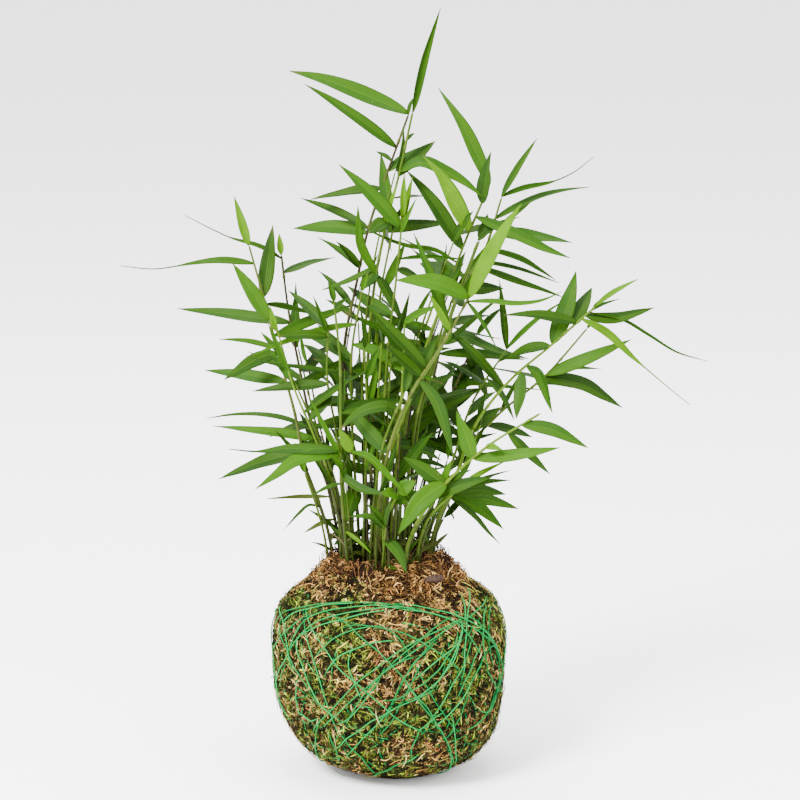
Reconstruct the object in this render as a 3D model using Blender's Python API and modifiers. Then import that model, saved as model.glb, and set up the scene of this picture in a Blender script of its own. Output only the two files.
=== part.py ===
"""Kokedama: a ball of soil wrapped in moss and wound with green thread, planted with dwarf bamboo.

Z is up, -Y is the front, and the origin is the middle of the small flat spot that the ball rests on.
Named sizes are in millimetres until mm() turns them into metres.
"""

import math
import random

import bmesh
import bpy
from mathutils import Matrix, Vector
from mathutils.bvhtree import BVHTree

# Ball: outer radius and height of the wrap from the resting spot up to the stems.
BALL_PROFILE = [
    (24, 0), (32, 3.2), (39.5, 7.2), (46, 12.5), (51.3, 19), (55.3, 27.5),
    (58.3, 39), (59.5, 55), (59.3, 71), (55.5, 85), (50, 91.5), (43.5, 96),
]
CAP_PROFILE = [(42.5, 97.2), (38, 100.3), (35, 103.2), (33.8, 106.2)]
SPOT_SHIFT = 4.0  # the resting spot lies this far to the right of the ball's middle
SPOT_FADE = 40.0  # height by which the ball is back on its own axis
WRAP_THICKNESS = 7.0
CAP_THICKNESS = 3.5
GAP = 0.3  # clearance between pieces that touch
CORE_RIM = [(35.5, 91), (31, 97), (29.5, 103)]  # shoulder of the soil inside the cap
CORE_FIT = 7.7  # how far the soil stays inside the outline, wall and gap together
BALL_STEPS = 32

# Bark chip lying on the cap's shoulder.
CHIP_SIZE = (11.0, 6.0, 2.2)
CHIP_PLACE = (22.0, -29.5, 105.9)
CHIP_TURN = 33.0
CHIP_LEAN = 42.0

# Thread: main turns of the winding, each one a plane through the ball.
THREAD_DIAMETER = 1.0
THREAD_SEAT = 1.7  # height of the thread's middle over the moss
THREAD_POINTS = 24
# Each turn: compass angle that it climbs towards, climb from level, and its middle's height and
# distance from the axis along that compass angle.
THREAD_TURNS = [
    (265, 9, 73, 0), (300, 14, 64, 0), (20, 42, 51, 0), (160, 44, 52, 0), (75, 40, 49, 0),
    (205, 38, 53, 0), (350, 88, 51, 45), (170, 86, 53, 45), (330, 33, 45, 0),
]

# Culms and leaves.
FOOT_Z = 96.0  # depth that the culms reach down into the soil
FOOT_CLEARANCE = 0.35
SOCKET_REACH = 14.0  # the socket's cutter runs this far up the culm, past the soil's top
CULM_STEP = 30.0
CULM_SIDES_LEVEL = 1
TOP_TAPER = 0.55  # share of a culm's foot radius left at its top
BLADE_THICKNESS = 0.5
BLADE_SEGMENTS = 4
BLADE_TIP_WIDTH = 0.6
BLADE_FOOT_WIDTH = 1.1
ARCH = 0.03  # rise of a leaf's middle over its chord, as a share of its length
GUARD = 0.6  # room kept around every culm and leaf
SWINGS = [0, 5, -5, 10, -10, 15, -15, 20, -20, 26, -26, 32, -32, 40, -40, 48, -48]

# The plan below gives every point as (across, height), as drawn on a front view that looks
# down by VIEW_SLOPE, and its depth apart. A point further back stands lower than it is drawn.
VIEW_SLOPE = 0.2126
VIEW_SPREAD = 1 / 1500
VIEW_MIDDLE = 5.75
PLAN_GROUND = 3.0  # the plan's height 0 lies this far above the resting spot


def leaf(base, tip, width, depth, *via, tail=0.0):
    """A leaf from its place on the culm to its tip; depth is how much further back the tip lies."""
    return {"base": base, "tip": tip, "width": width, "depth": depth, "via": via, "tail": tail}


def shoot(foot, radius, culm, *leaves, twig=()):
    """One culm with the leaves that grow on it; culm and twig points are (across, height, depth)."""
    return {"foot": foot, "radius": radius, "culm": culm, "leaves": leaves, "twig": twig}


PLAN = {
    "shoot_far_left": shoot(
        (-26, 1), 1.2,
        [(-30, 119, 3), (-34, 129, 4), (-42, 154, 6), (-46, 177, 6), (-50, 191, 6), (-55, 212, 5),
         (-62, 240, 4), (-66, 256, 3), (-69, 266, 2)],
        leaf((-69, 266), (-76, 290), 5.0, -6),
        leaf((-67, 257), (-133, 256), 5.0, 8, (-93, 257.5), (-110, 254), tail=0.4),
        leaf((-62, 241), (-57, 277), 7.5, 14),
        leaf((-59, 227), (-77, 256), 7.5, -16),
        leaf((-55, 211), (-82, 198), 7.5, -14, (-66, 208)),
        leaf((-52, 197), (-91.5, 203), 6.5, 16, (-75, 201)),
        leaf((-56, 214), (-84.5, 219), 3.5, 20),
        leaf((-55, 211), (-63.5, 222.5), 3.0, 12),
        leaf((-43, 160), (-85.5, 146.5), 8.5, 10, (-62, 156)),
        leaf((-35, 131), (-53, 120.5), 2.2, -8, (-40, 133), (-46, 128)),
    ),
    "shoot_left_bright": shoot(
        (-24, -7), 1.0,
        [(-24, 124, -9), (-27, 141, -11), (-34, 157, -13), (-38.5, 173, -14), (-45, 187, -15),
         (-50, 203, -16), (-53, 215, -17), (-55, 222, -17)],
        leaf((-55, 222), (-59, 235), 4.0, -4),
        leaf((-50, 203), (-60, 226), 4.0, -10),
    ),
    "shoot_left_inner": shoot(
        (-23, 10), 1.2,
        [(-28, 130, 13), (-32, 149, 14), (-36, 165, 15), (-39, 177, 16), (-42.5, 190, 17), (-44, 203, 18),
         (-49, 222, 18), (-50, 240, 18), (-52, 255, 18), (-53, 262, 18)],
        leaf((-53, 262), (-54, 273), 3.5, 4),
        leaf((-53, 259), (-100.5, 282.5), 3.5, 10, (-62, 265), (-80, 271.5), tail=0.4),
        leaf((-52, 253), (-26.5, 261.5), 5.5, 18),
        leaf((-49, 226), (-105, 235), 6.5, 14, (-80, 232)),
        leaf((-38, 172), (-91, 178), 3.5, 14, (-48, 176.5), (-70, 180)),
        leaf((-37, 166), (-88, 174), 6.5, 10, (-52, 170), (-70, 172)),
        leaf((-30, 137), (-62, 135.5), 3.0, 20, (-45, 136.5)),
        leaf((-29, 124), (-43, 118), 3.0, 8),
        leaf((-26, 118), (-40.5, 131), 3.5, -10),
    ),
    "shoot_left_upright": shoot(
        (-19, 18), 1.0,
        [(-25, 135, 21), (-30, 150, 24), (-36, 175, 27), (-42, 198, 29), (-45, 215, 30)],
        leaf((-45, 215), (-46, 249), 4.0, 6),
        leaf((-41, 194), (-70, 213), 5.0, 22),
        leaf((-36, 175), (-60, 168), 5.5, 26),
    ),
    "shoot_left_mid": shoot(
        (-20, -3), 1.1,
        [(-22, 130, -5), (-24, 160, -7), (-28, 180, -9), (-30, 195, -12), (-32, 205, -13), (-31, 215, -14),
         (-30, 224, -15)],
        leaf((-30, 224), (-49.5, 243), 5.5, 14),
        leaf((-30, 222), (-37.5, 240), 3.0, -8),
        leaf((-31, 220), (-55, 219), 5.5, -12),
        leaf((-30, 195), (-68, 192), 6.5, -6, (-50, 194)),
        leaf((-30, 192), (-39, 177), 8.5, -8),
    ),
    "shoot_front_left": shoot(
        (-19, -14), 1.2,
        [(-22.5, 124, -20), (-23.7, 141, -22), (-24, 159, -24), (-24, 197, -26), (-25, 225, -27),
         (-27, 237, -27)],
        leaf((-27, 237), (-30, 247), 3.5, -3),
        leaf((-24, 232), (-20, 238), 4.0, -8),
        leaf((-24, 163), (-80, 163), 5.5, -10, (-50, 163), (-70, 161.5), tail=0.2),
        leaf((-24, 159), (-67, 143), 6.5, -16, (-34, 160), (-45, 158), (-54, 152)),
        leaf((-24, 160), (-40, 190), 4.0, -6),
        leaf((-24, 146), (-39, 139), 3.0, -6),
        leaf((-24, 151), (2, 139.5), 5.0, -12, (-14, 142.5)),
        leaf((-22, 121), (-9, 110), 2.2, -8),
        leaf((-18.7, 161.5), (-25, 173), 5.5, -4),
        leaf((-18.7, 161.5), (10, 139), 4.5, -8, (-10.5, 159), (-2.6, 152)),
        twig=[(-23.9, 151, -23), (-21, 157, -26), (-18.7, 161.5, -28)],
    ),
    "shoot_mid_left": shoot(
        (-14, -3), 1.2,
        [(-16, 135, -4), (-17.3, 157, -4), (-19, 198, -3), (-18, 215, -3), (-17, 225, -3), (-13, 243, -4)],
        leaf((-13, 243), (-10, 252), 3.0, -3),
        leaf((-17, 226), (-68, 210), 5.0, -22, (-30, 223), (-50, 217)),
        leaf((-18, 216), (27, 196), 6.0, -26, (-5, 212), (5, 205)),
        leaf((-19, 202), (-71, 210), 3.0, -30, (-40, 203.5), (-60, 206)),
        leaf((-16, 143), (-21, 125), 8.5, -22),
    ),
    "shoot_tall_purple": shoot(
        (-18, 6), 1.3,
        [(-20, 140, 7), (-21, 170, 8), (-22, 195, 9), (-22, 214, 10), (-20, 228, 10), (-18, 237, 10),
         (-13, 260, 11), (-9, 278, 11), (-2, 298, 12), (3.5, 315, 12), (10, 332, 12)],
        leaf((10, 332), (13, 341), 3.0, 2),
        leaf((10, 332), (-48.5, 354.5), 8.5, 10, (-10, 341), (-30, 349.5)),
        leaf((3.5, 315), (-41, 346), 6.5, -8, (-20, 333)),
        leaf((1, 308), (-6, 314), 3.0, 6),
        leaf((-10, 275), (-43, 291), 5.0, 14),
        leaf((-10, 273), (-47, 276), 7.5, 18, (-25, 276)),
        leaf((-14, 256), (-35, 271), 5.5, 10),
        leaf((-14, 254), (-26, 268), 4.5, -8),
        leaf((-18, 236), (-34.5, 254), 4.5, 12),
    ),
    "shoot_tallest": shoot(
        (-8, -1), 1.3,
        [(-9, 150, 0), (-11, 190, 0), (-10, 212, 0), (-9, 225, 0), (-6, 255, 0), (-4, 265, 0), (-1, 276, 0),
         (2, 288, 0), (5.5, 302, 0), (9, 318, 0), (12, 332, 0)],
        leaf((12, 332), (25.5, 382), 5.0, -6, (17, 355)),
        leaf((5, 301), (23, 318.5), 7.5, 12),
        leaf((5.5, 303), (47, 289), 6.5, -8, (16, 307), (35, 298.5)),
        leaf((-2, 272), (5, 298), 3.5, -4),
        leaf((-6, 250), (-15, 285), 5.5, -8, (-14, 266)),
        leaf((-6, 254), (-14, 243), 7.5, -14),
        leaf((0, 279), (-10, 271), 7.5, -12),
        leaf((-6, 252), (8, 224), 6.5, -14),
        leaf((9, 317), (13, 322), 2.5, 5),
    ),
    "shoot_mid_rolled": shoot(
        (-5, -9), 1.1,
        [(-3, 150, -13), (-2, 190, -14), (-1, 205, -15), (1, 225, -15), (3, 240, -16), (4, 250, -16),
         (5, 260, -16), (7, 279, -16)],
        leaf((7, 279), (8, 300), 4.0, -4),
        leaf((7, 277), (12, 299), 4.0, 3),
        leaf((6, 270), (14, 288), 2.5, -5),
        leaf((6.5, 275), (-24.5, 305.5), 8.0, 8),
        leaf((5, 257), (38, 258.5), 3.0, 14),
        leaf((4, 252), (18, 247.5), 5.5, 12),
    ),
    "shoot_mid_back": shoot(
        (-12, 13), 1.0,
        [(-12, 140, 15), (-12, 157, 16), (-13.7, 198, 18), (-14, 215, 19), (-15, 228, 20)],
        leaf((-15, 228), (-31, 240), 4.5, 22),
        leaf((-14, 215), (-1, 227), 5.5, 24),
        leaf((-13, 181), (-2.6, 162), 8.5, -14),
        leaf((-13, 192), (-34, 208), 6.0, 26),
        leaf((-12, 165), (-30, 172), 5.0, 28),
    ),
    "shoot_mid_front": shoot(
        (-13, -11), 1.0,
        [(-12, 140, -15), (-11, 165, -17), (-11, 198, -19), (-12, 214, -20)],
        leaf((-12, 214), (-14, 233), 4.5, -4),
        leaf((-11, 198), (-4, 215), 4.5, -10),
    ),
    "shoot_centre_back": shoot(
        (-7, 8), 1.1,
        [(-8, 124, 9), (-6.5, 153, 12), (-6, 198, 15), (-5, 212, 16), (-4, 226, 17)],
        leaf((-4, 226), (-19, 238), 4.5, 20),
        leaf((-5, 208), (-3, 232), 5.5, 24),
        leaf((-6, 185), (14, 200), 6.5, 26),
        leaf((-6.5, 152), (-20, 160), 5.0, 24),
    ),
    "shoot_centre_front": shoot(
        (2, -14), 1.1,
        [(4, 140, -19), (5, 170, -22), (7, 190, -24), (7, 210, -25), (8, 226, -26)],
        leaf((8, 226), (24, 234), 5.0, -8),
        leaf((7, 213), (-7, 226.5), 5.5, -6),
        leaf((6, 182), (-24, 173), 6.5, -14, (-3, 184), (-14.5, 181)),
    ),
    "shoot_centre_thin": shoot(
        (0, 12), 0.9,
        [(5, 140, 16), (8, 170, 20), (10, 190, 22), (11, 205, 23), (14, 228, 25)],
        leaf((14, 228), (22, 246), 3.5, 6),
        leaf((11, 206), (22, 208), 6.5, -8),
        leaf((13, 222), (-19, 237), 3.5, 12, (0, 231)),
        leaf((9, 182), (28, 195), 6.0, 20),
    ),
    "shoot_front_tan": shoot(
        (-7, -19), 1.3,
        [(-5, 130, -24), (-3, 145, -28), (-1, 161, -31), (5, 175, -33), (13, 194, -36), (22, 207, -38),
         (30, 221, -40), (40, 238, -42)],
        leaf((40, 238), (65.5, 283), 7.5, -10, (53, 264)),
        leaf((40, 237), (3.5, 246), 9.5, -14, (22, 245)),
        leaf((31, 223), (20, 240), 4.5, -10),
        leaf((39, 237), (86, 240.5), 3.0, -8, (50, 236), (70, 235)),
        leaf((30, 221), (12.5, 270), 5.5, 6, (22, 246)),
        leaf((39, 236), (54, 213), 3.0, -10),
        leaf((15, 197), (32.5, 159.5), 6.5, -10, (24, 187), (28, 175)),
    ),
    "shoot_right_tall": shoot(
        (3, -4), 1.3,
        [(4, 135, -2), (6, 157, 0), (9, 180, 1), (16, 205, 1), (22, 222, 0), (28, 240, 0), (31, 256, 0),
         (38, 268, 0), (45, 279, 0), (50, 296, 0)],
        leaf((50, 296), (24.5, 343), 9.0, -6, (38, 322)),
        leaf((41, 273), (17, 309), 8.5, -12, (28, 296)),
        leaf((36, 265), (9, 304), 7.5, 12, (22, 288)),
        leaf((47, 286), (50.5, 311), 7.5, -14),
        leaf((45, 279), (90, 259), 6.5, -8, (63, 271), (75, 265)),
        leaf((31, 257), (-14, 276), 3.5, 10, (22, 263), (5, 266)),
        leaf((12, 191), (-2, 208), 5.0, 14),
    ),
    "shoot_right_inner": shoot(
        (7, 5), 1.2,
        [(10, 150, 12), (16, 190, 18), (24, 215, 22), (30, 235, 25), (38, 248, 26), (44, 258, 27),
         (50, 270, 28), (54, 281, 29), (56, 292, 29)],
        leaf((56, 292), (73, 322), 4.0, 6),
        leaf((56, 291), (101, 313), 4.0, 10, (65, 295.5), (80, 299.5), (90, 304), tail=0.4),
        leaf((54, 281), (99.5, 298), 5.0, 14, (70, 290), (84, 295)),
        leaf((27, 225), (51, 232), 6.0, 24),
    ),
    "shoot_right_back": shoot(
        (5, 19), 1.2,
        [(14, 150, 32), (20, 185, 39), (26, 215, 45), (34, 240, 50), (45, 262, 54), (54, 275, 57)],
        leaf((54, 275), (91, 271), 8.5, 14, (72, 274)),
        leaf((54, 275), (70, 292), 4.0, 20),
        leaf((34, 240), (58, 277), 8.5, -10),
        leaf((48, 267), (83, 251), 5.0, 10, (65, 261)),
        leaf((44, 261), (84.5, 250), 3.5, 22, (62, 257)),
        leaf((42, 257), (87.5, 241.5), 5.0, 4, (62, 250)),
        leaf((27, 218), (70, 209), 6.5, -12, (35, 221), (55, 213)),
        leaf((26, 213), (68, 209), 5.5, 16, (45, 212)),
        leaf((20, 186), (10, 165), 9.5, -8),
    ),
    "shoot_back_hanging": shoot(
        (10, 24), 1.1,
        [(18, 145, 40), (26, 170, 46), (31, 187, 50), (38, 208, 55), (44, 222, 58)],
        leaf((44, 222), (57, 237), 4.5, 10),
        leaf((37, 206), (33, 184), 8.5, 8),
        leaf((40, 212), (50, 188), 7.5, 10),
        leaf((33, 194), (50, 199), 4.0, 8),
        leaf((31, 188), (76, 193), 4.0, -12, (38, 195), (56, 194)),
        leaf((29, 181), (45, 194), 5.0, 12),
        leaf((35, 198), (22, 209), 4.0, 18),
    ),
    "shoot_right_mid": shoot(
        (15, 6), 1.1,
        [(24, 130, 12), (28, 142, 14), (35, 165, 18), (40, 180, 20), (46, 197, 22), (52, 206, 24),
         (59, 214, 26)],
        leaf((59, 214), (87, 239), 4.0, 6),
        leaf((59, 214), (55, 250), 4.5, 8),
        leaf((54, 208), (80, 216.5), 3.0, 12),
        leaf((47, 199), (63, 177), 4.5, -16, (56, 190)),
        leaf((36, 169), (57, 184), 8.5, 14),
        leaf((31, 152), (50, 160), 5.0, 20),
    ),
    "shoot_far_right": shoot(
        (19, -2), 1.2,
        [(23, 120, -2), (32, 142, -3), (40, 168, -4), (53, 189, -5), (67.5, 204, -6), (83, 217, -7),
         (95, 228, -8), (103, 235, -8)],
        leaf((103, 235), (124, 248.5), 3.5, -3),
        leaf((102, 234), (113, 242), 2.5, 4),
        leaf((99, 231), (115, 239), 2.2, 10),
        leaf((97, 229.5), (132, 234.5), 6.0, 8, (112, 229)),
        leaf((95, 228), (151, 185), 5.0, -12, (103, 227), (115, 216), (130, 202), (140, 194), tail=0.4),
        leaf((100, 232), (159, 207.5), 2.4, 18, (116, 228), (145, 211)),
        leaf((82, 216), (93, 253), 9.5, 10, (89, 236)),
        leaf((92, 225), (101, 245), 7.5, 18),
        leaf((69, 205), (82, 181), 5.5, -10, (76, 199)),
        leaf((66, 202), (64, 178), 8.5, 12),
    ),
    "shoot_right_low": shoot(
        (12, 14), 1.1,
        [(20, 128, 20), (27, 145, 24), (37, 160, 27), (55, 180, 31), (70, 194, 33), (77, 199, 34),
         (85, 208, 35), (99, 225, 36)],
        leaf((99, 225), (104, 232), 2.5, 3),
        leaf((78, 200), (121, 219), 7.0, -6, (100, 209.5)),
        leaf((76, 198), (117, 183.5), 8.5, 10, (96, 196)),
        leaf((80, 202), (106, 204), 2.4, 20),
        leaf((72, 195), (92, 194), 2.4, 22),
        leaf((50, 175), (72, 168), 6.0, 16),
    ),
    "shoot_front_bright": shoot(
        (7, -23), 1.2,
        [(12, 122, -33), (20, 133, -38), (28, 146, -42), (38, 155, -44), (50, 165, -46), (58, 172, -47),
         (70, 177, -48), (76, 181, -48)],
        leaf((28, 146), (5, 121), 9.5, -10, (16, 137)),
        leaf((49, 164), (57, 163), 4.5, -3),
        leaf((43, 159), (86, 164), 6.5, -6, (62, 160)),
        leaf((58, 172), (81, 150.5), 5.5, 10, (68, 163)),
        leaf((42, 158), (34, 182), 8.5, 8),
        leaf((66, 175), (100, 164), 6.5, -8, (82, 173)),
    ),
    "shoot_low_right": shoot(
        (18, 16), 1.0,
        [(22, 122, 22), (27, 131, 26), (32, 137, 29)],
        leaf((32, 137), (65.6, 130), 7.0, 10, (50, 135)),
        leaf((32, 137), (58, 120), 7.5, -8, (45, 131)),
        leaf((31, 136), (56, 113), 3.5, -20, (42, 128), (49, 120)),
        leaf((29, 134), (33, 124), 5.5, 14),
    ),
    "shoot_low_front": shoot(
        (13, -16), 1.0,
        [(17, 122, -24), (25, 132, -27), (34, 142, -29)],
        leaf((34, 142), (59, 157), 3.5, -4),
        leaf((33, 141), (59, 139.6), 6.5, 10, (46, 142)),
        leaf((34, 142), (61, 147), 4.5, 4),
        leaf((31, 139), (61, 151.6), 3.0, 20),
    ),
    "shoot_back_dark": shoot(
        (-3, 21), 1.1,
        [(4, 140, 35), (10, 162, 41), (15, 180, 45), (18, 196, 48)],
        leaf((18, 196), (26, 214), 5.0, 12),
        leaf((10, 162), (34, 181.5), 9.5, 6),
        leaf((11, 165), (54, 170), 5.5, 12, (30, 165)),
        leaf((14, 177), (-6, 186), 6.0, 22),
        leaf((6, 147), (-8, 162), 5.5, 26),
    ),
    "shoot_short_front": shoot(
        (-1, -24), 1.1,
        [(-2.6, 122, -31), (0.6, 129, -33), (5, 141, -36)],
        leaf((5, 141), (14, 147), 7.5, -6),
        leaf((4, 139), (-4, 141), 6.5, -8),
        leaf((3, 136), (18, 141), 6.5, 6),
        leaf((-2, 123), (-20, 129), 4.5, -6, (-9, 128)),
        leaf((-2, 117), (9, 101), 6.5, -16, (4, 112)),
    ),
}


def mm(*values):
    """Millimetres to metres, as a vector."""
    return Vector(values) * 0.001


def start_scene():
    for obj in list(bpy.data.objects):
        bpy.data.objects.remove(obj, do_unlink=True)
    parts = bpy.data.collections.new("kokedama")
    helpers = bpy.data.collections.new("helpers")
    bpy.context.scene.collection.children.link(parts)
    bpy.context.scene.collection.children.link(helpers)
    return parts, helpers


PARTS, HELPERS = start_scene()


def material(name, colour, roughness):
    made = bpy.data.materials.new(name)
    made.use_nodes = True
    shader = made.node_tree.nodes["Principled BSDF"]
    shader.inputs["Base Color"].default_value = (*colour, 1)
    shader.inputs["Roughness"].default_value = roughness
    shader.inputs["Metallic"].default_value = 0.0
    return made


SOIL = material("soil", (0.05, 0.03, 0.02), 0.95)
MOSS = material("moss", (0.16, 0.19, 0.05), 0.95)
SPHAGNUM = material("dry_sphagnum", (0.42, 0.27, 0.12), 0.95)
THREAD = material("green_thread", (0.0, 0.33, 0.13), 0.45)
BARK = material("bark", (0.13, 0.08, 0.05), 0.9)
LEAF = material("leaf", (0.16, 0.33, 0.05), 0.5)


def add_object(name, mesh, collection, finish):
    obj = bpy.data.objects.new(name, mesh)
    collection.objects.link(obj)
    mesh.materials.clear()
    mesh.materials.append(finish)
    if collection == HELPERS:
        obj.hide_render = True
        obj.display_type = "WIRE"
    return obj


def evaluated_mesh(obj):
    bpy.context.view_layer.update()
    graph = bpy.context.evaluated_depsgraph_get()
    return bpy.data.meshes.new_from_object(obj.evaluated_get(graph))


# ---------------------------------------------------------------- ball


def spot_shift(z):
    """How far the ball's section at this height lies to the right of the axis."""
    return SPOT_SHIFT * max(0.0, 1 - z / SPOT_FADE)


def turned(name, profile, steps, thickness=0.0):
    """A profile turned about the ball's axis, shifted over the resting spot, as a plain mesh."""
    mesh = bpy.data.meshes.new(name)
    points = [mm(radius, 0, z) for radius, z in reversed(profile)]
    mesh.from_pydata(points, [(i, i + 1) for i in range(len(points) - 1)], [])
    obj = add_object(name + "_profile", mesh, HELPERS, SOIL)
    screw = obj.modifiers.new("turn", "SCREW")
    screw.steps = screw.render_steps = steps
    screw.use_merge_vertices = True
    screw.merge_threshold = 0.0001
    if thickness:
        wall = obj.modifiers.new("wall", "SOLIDIFY")
        wall.thickness = thickness * 0.001
        wall.offset = -1
        wall.use_even_offset = True
    made = evaluated_mesh(obj)
    bpy.data.objects.remove(obj, do_unlink=True)
    for vertex in made.vertices:
        vertex.co.x += spot_shift(vertex.co.z * 1000) * 0.001
    return made


def profile_radius(z, profile):
    """Radius of a profile at this height, straight between its points."""
    for (low_r, low_z), (high_r, high_z) in zip(profile, profile[1:]):
        if low_z <= z <= high_z:
            return low_r + (high_r - low_r) * (z - low_z) / (high_z - low_z)
    return profile[0][0] if z < profile[0][1] else profile[-1][0]


def moss_wrap():
    """A blanket of moss, open at the top, with the flat spot under it."""
    mesh = turned("moss_wrap", [(0, 0)] + BALL_PROFILE, BALL_STEPS, WRAP_THICKNESS)
    return add_object("moss_wrap", mesh, PARTS, MOSS)


def sphagnum_cap():
    """The collar of dry sphagnum that closes the wrap round the stems."""
    mesh = turned("sphagnum_cap", CAP_PROFILE, BALL_STEPS, CAP_THICKNESS)
    return add_object("sphagnum_cap", mesh, PARTS, SPHAGNUM)


def offset_profile(profile, distance):
    """The profile moved this far out along its own normals."""
    moved = []
    for index, (radius, z) in enumerate(profile):
        before = Vector(profile[max(index - 1, 0)])
        after = Vector(profile[min(index + 1, len(profile) - 1)])
        along = (after - before).normalized()
        moved.append((radius + along.y * distance, z - along.x * distance))
    return moved


def soil_core(cutters):
    """The ball of soil inside, with a socket where each culm is planted."""
    side = [point for point in offset_profile(BALL_PROFILE, -CORE_FIT) if point[1] < CORE_RIM[0][1] - 2]
    floor_z = WRAP_THICKNESS + 2 * GAP
    floor_radius = BALL_PROFILE[0][0] - 2
    side = [point for point in side if point[0] > floor_radius + 1 and point[1] > floor_z + 0.5]
    profile = [(0, floor_z), (floor_radius, floor_z)] + side + CORE_RIM + [(0, CORE_RIM[-1][1])]
    mesh = turned("soil_core", profile, BALL_STEPS)
    core = add_object("soil_core", mesh, PARTS, SOIL)
    sockets = core.modifiers.new("sockets", "BOOLEAN")
    sockets.operation = "DIFFERENCE"
    sockets.solver = "EXACT"
    sockets.operand_type = "COLLECTION"
    sockets.collection = cutters
    return core


# ---------------------------------------------------------------- thread


def surface_point(middle, direction, profile):
    """Where a ray from inside the ball meets this outline, by halving."""
    near, far = 0.0, 140.0
    for _ in range(30):
        reach = (near + far) / 2
        point = middle + direction * reach
        beyond = not profile[0][1] < point.z < profile[-1][1]
        if beyond or math.hypot(point.x, point.y) > profile_radius(point.z, profile):
            far = reach
        else:
            near = reach
    return middle + direction * near


def thread_turn(compass, climb, height, aside):
    """One closed turn: where a tilted plane meets the ball."""
    across = Vector((math.cos(math.radians(compass)), math.sin(math.radians(compass)), 0))
    along = Vector((-across.y, across.x, 0))
    rise = math.radians(climb)
    up_slope = across * math.cos(rise) + Vector((0, 0, math.sin(rise)))
    middle = across * aside + Vector((0, 0, height))
    outline = offset_profile(BALL_PROFILE + CAP_PROFILE[1:], THREAD_SEAT)
    points = []
    for i in range(THREAD_POINTS):
        angle = 2 * math.pi * (i + 0.5) / THREAD_POINTS
        direction = up_slope * math.cos(angle) + along * math.sin(angle)
        point = surface_point(middle, direction, outline)
        point.x += spot_shift(point.z)
        points.append(point)
    return points


def closed_tube(name, points, diameter, collection, finish):
    curve = bpy.data.curves.new(name, "CURVE")
    curve.dimensions = "3D"
    curve.bevel_depth = diameter / 2 * 0.001
    curve.bevel_resolution = 0
    spline = curve.splines.new("POLY")
    spline.points.add(len(points) - 1)
    spline.use_cyclic_u = True
    for slot, point in zip(spline.points, points):
        slot.co = (*mm(*point), 1)
    return curve_to_mesh(name, curve, collection, finish)


def curve_to_mesh(name, curve, collection, finish):
    """A curve as a mesh object of its own, its caps welded."""
    holder = bpy.data.objects.new(name + "_curve", curve)
    HELPERS.objects.link(holder)
    holder.hide_render = True
    holder.display_type = "WIRE"
    mesh = evaluated_mesh(holder)
    work = bmesh.new()
    work.from_mesh(mesh)
    bmesh.ops.remove_doubles(work, verts=work.verts, dist=0.00001)
    bmesh.ops.recalc_face_normals(work, faces=work.faces)
    work.to_mesh(mesh)
    work.free()
    obj = add_object(name, mesh, collection, finish)
    obj.matrix_world = holder.matrix_world
    bpy.data.objects.remove(holder, do_unlink=True)
    bpy.data.curves.remove(curve)
    return obj


def helper_collection(name):
    made = bpy.data.collections.new(name)
    HELPERS.children.link(made)
    return made


def join_all(obj, operands):
    """Grow the operands of a collection and the object into one body."""
    union = obj.modifiers.new("grown_together", "BOOLEAN")
    union.operation = "UNION"
    union.solver = "EXACT"
    union.operand_type = "COLLECTION"
    union.collection = operands


def binding_thread():
    turns = helper_collection("thread_turns")
    for index, turn in enumerate(THREAD_TURNS[1:]):
        points = thread_turn(*turn)
        obj = closed_tube(f"thread_turn_{index}", points, THREAD_DIAMETER, HELPERS, THREAD)
        turns.objects.link(obj)
        HELPERS.objects.unlink(obj)
    first = closed_tube("binding_thread", thread_turn(*THREAD_TURNS[0]), THREAD_DIAMETER, PARTS, THREAD)
    join_all(first, turns)
    return first


# ---------------------------------------------------------------- culms and leaves


def placed(across, height, depth):
    """A plan point in the object's frame."""
    x = VIEW_MIDDLE + (across - VIEW_MIDDLE) * (1 + depth * VIEW_SPREAD)
    return Vector((x, depth, height + PLAN_GROUND - VIEW_SLOPE * depth))


def smooth_path(points, steps):
    """A Catmull-Rom curve through the points."""
    padded = [2 * points[0] - points[1], *points, 2 * points[-1] - points[-2]]
    path = []
    for a, b, c, d in zip(padded, padded[1:], padded[2:], padded[3:]):
        for i in range(steps):
            t = i / steps
            path.append(
                0.5 * (2 * b + (c - a) * t + (2 * a - 5 * b + 4 * c - d) * t ** 2
                       + (3 * b - a - 3 * c + d) * t ** 3)
            )
    return path + [points[-1]]


def even_points(path, count):
    """The path again, as this many even steps along its length."""
    lengths = [0.0]
    for a, b in zip(path, path[1:]):
        lengths.append(lengths[-1] + (b - a).length)
    out = []
    step = 0
    for i in range(count + 1):
        goal = lengths[-1] * i / count
        while step < len(path) - 2 and lengths[step + 1] < goal:
            step += 1
        share = (goal - lengths[step]) / max(lengths[step + 1] - lengths[step], 1e-9)
        out.append(path[step].lerp(path[step + 1], min(share, 1.0)))
    return out


def tube_faces(points, radii, sides):
    """Corners and faces of a plain tube, for clearance tests."""
    corners = []
    for i, (point, radius) in enumerate(zip(points, radii)):
        along = (points[min(i + 1, len(points) - 1)] - points[max(i - 1, 0)]).normalized()
        side = along.orthogonal().normalized()
        other = along.cross(side)
        for k in range(sides):
            turn = 2 * math.pi * k / sides
            corners.append(point + radius * (math.cos(turn) * side + math.sin(turn) * other))
    faces = []
    for i in range(len(points) - 1):
        for k in range(sides):
            low = i * sides
            faces.append((low + k, low + (k + 1) % sides, low + sides + (k + 1) % sides, low + sides + k))
    return corners, faces


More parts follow.
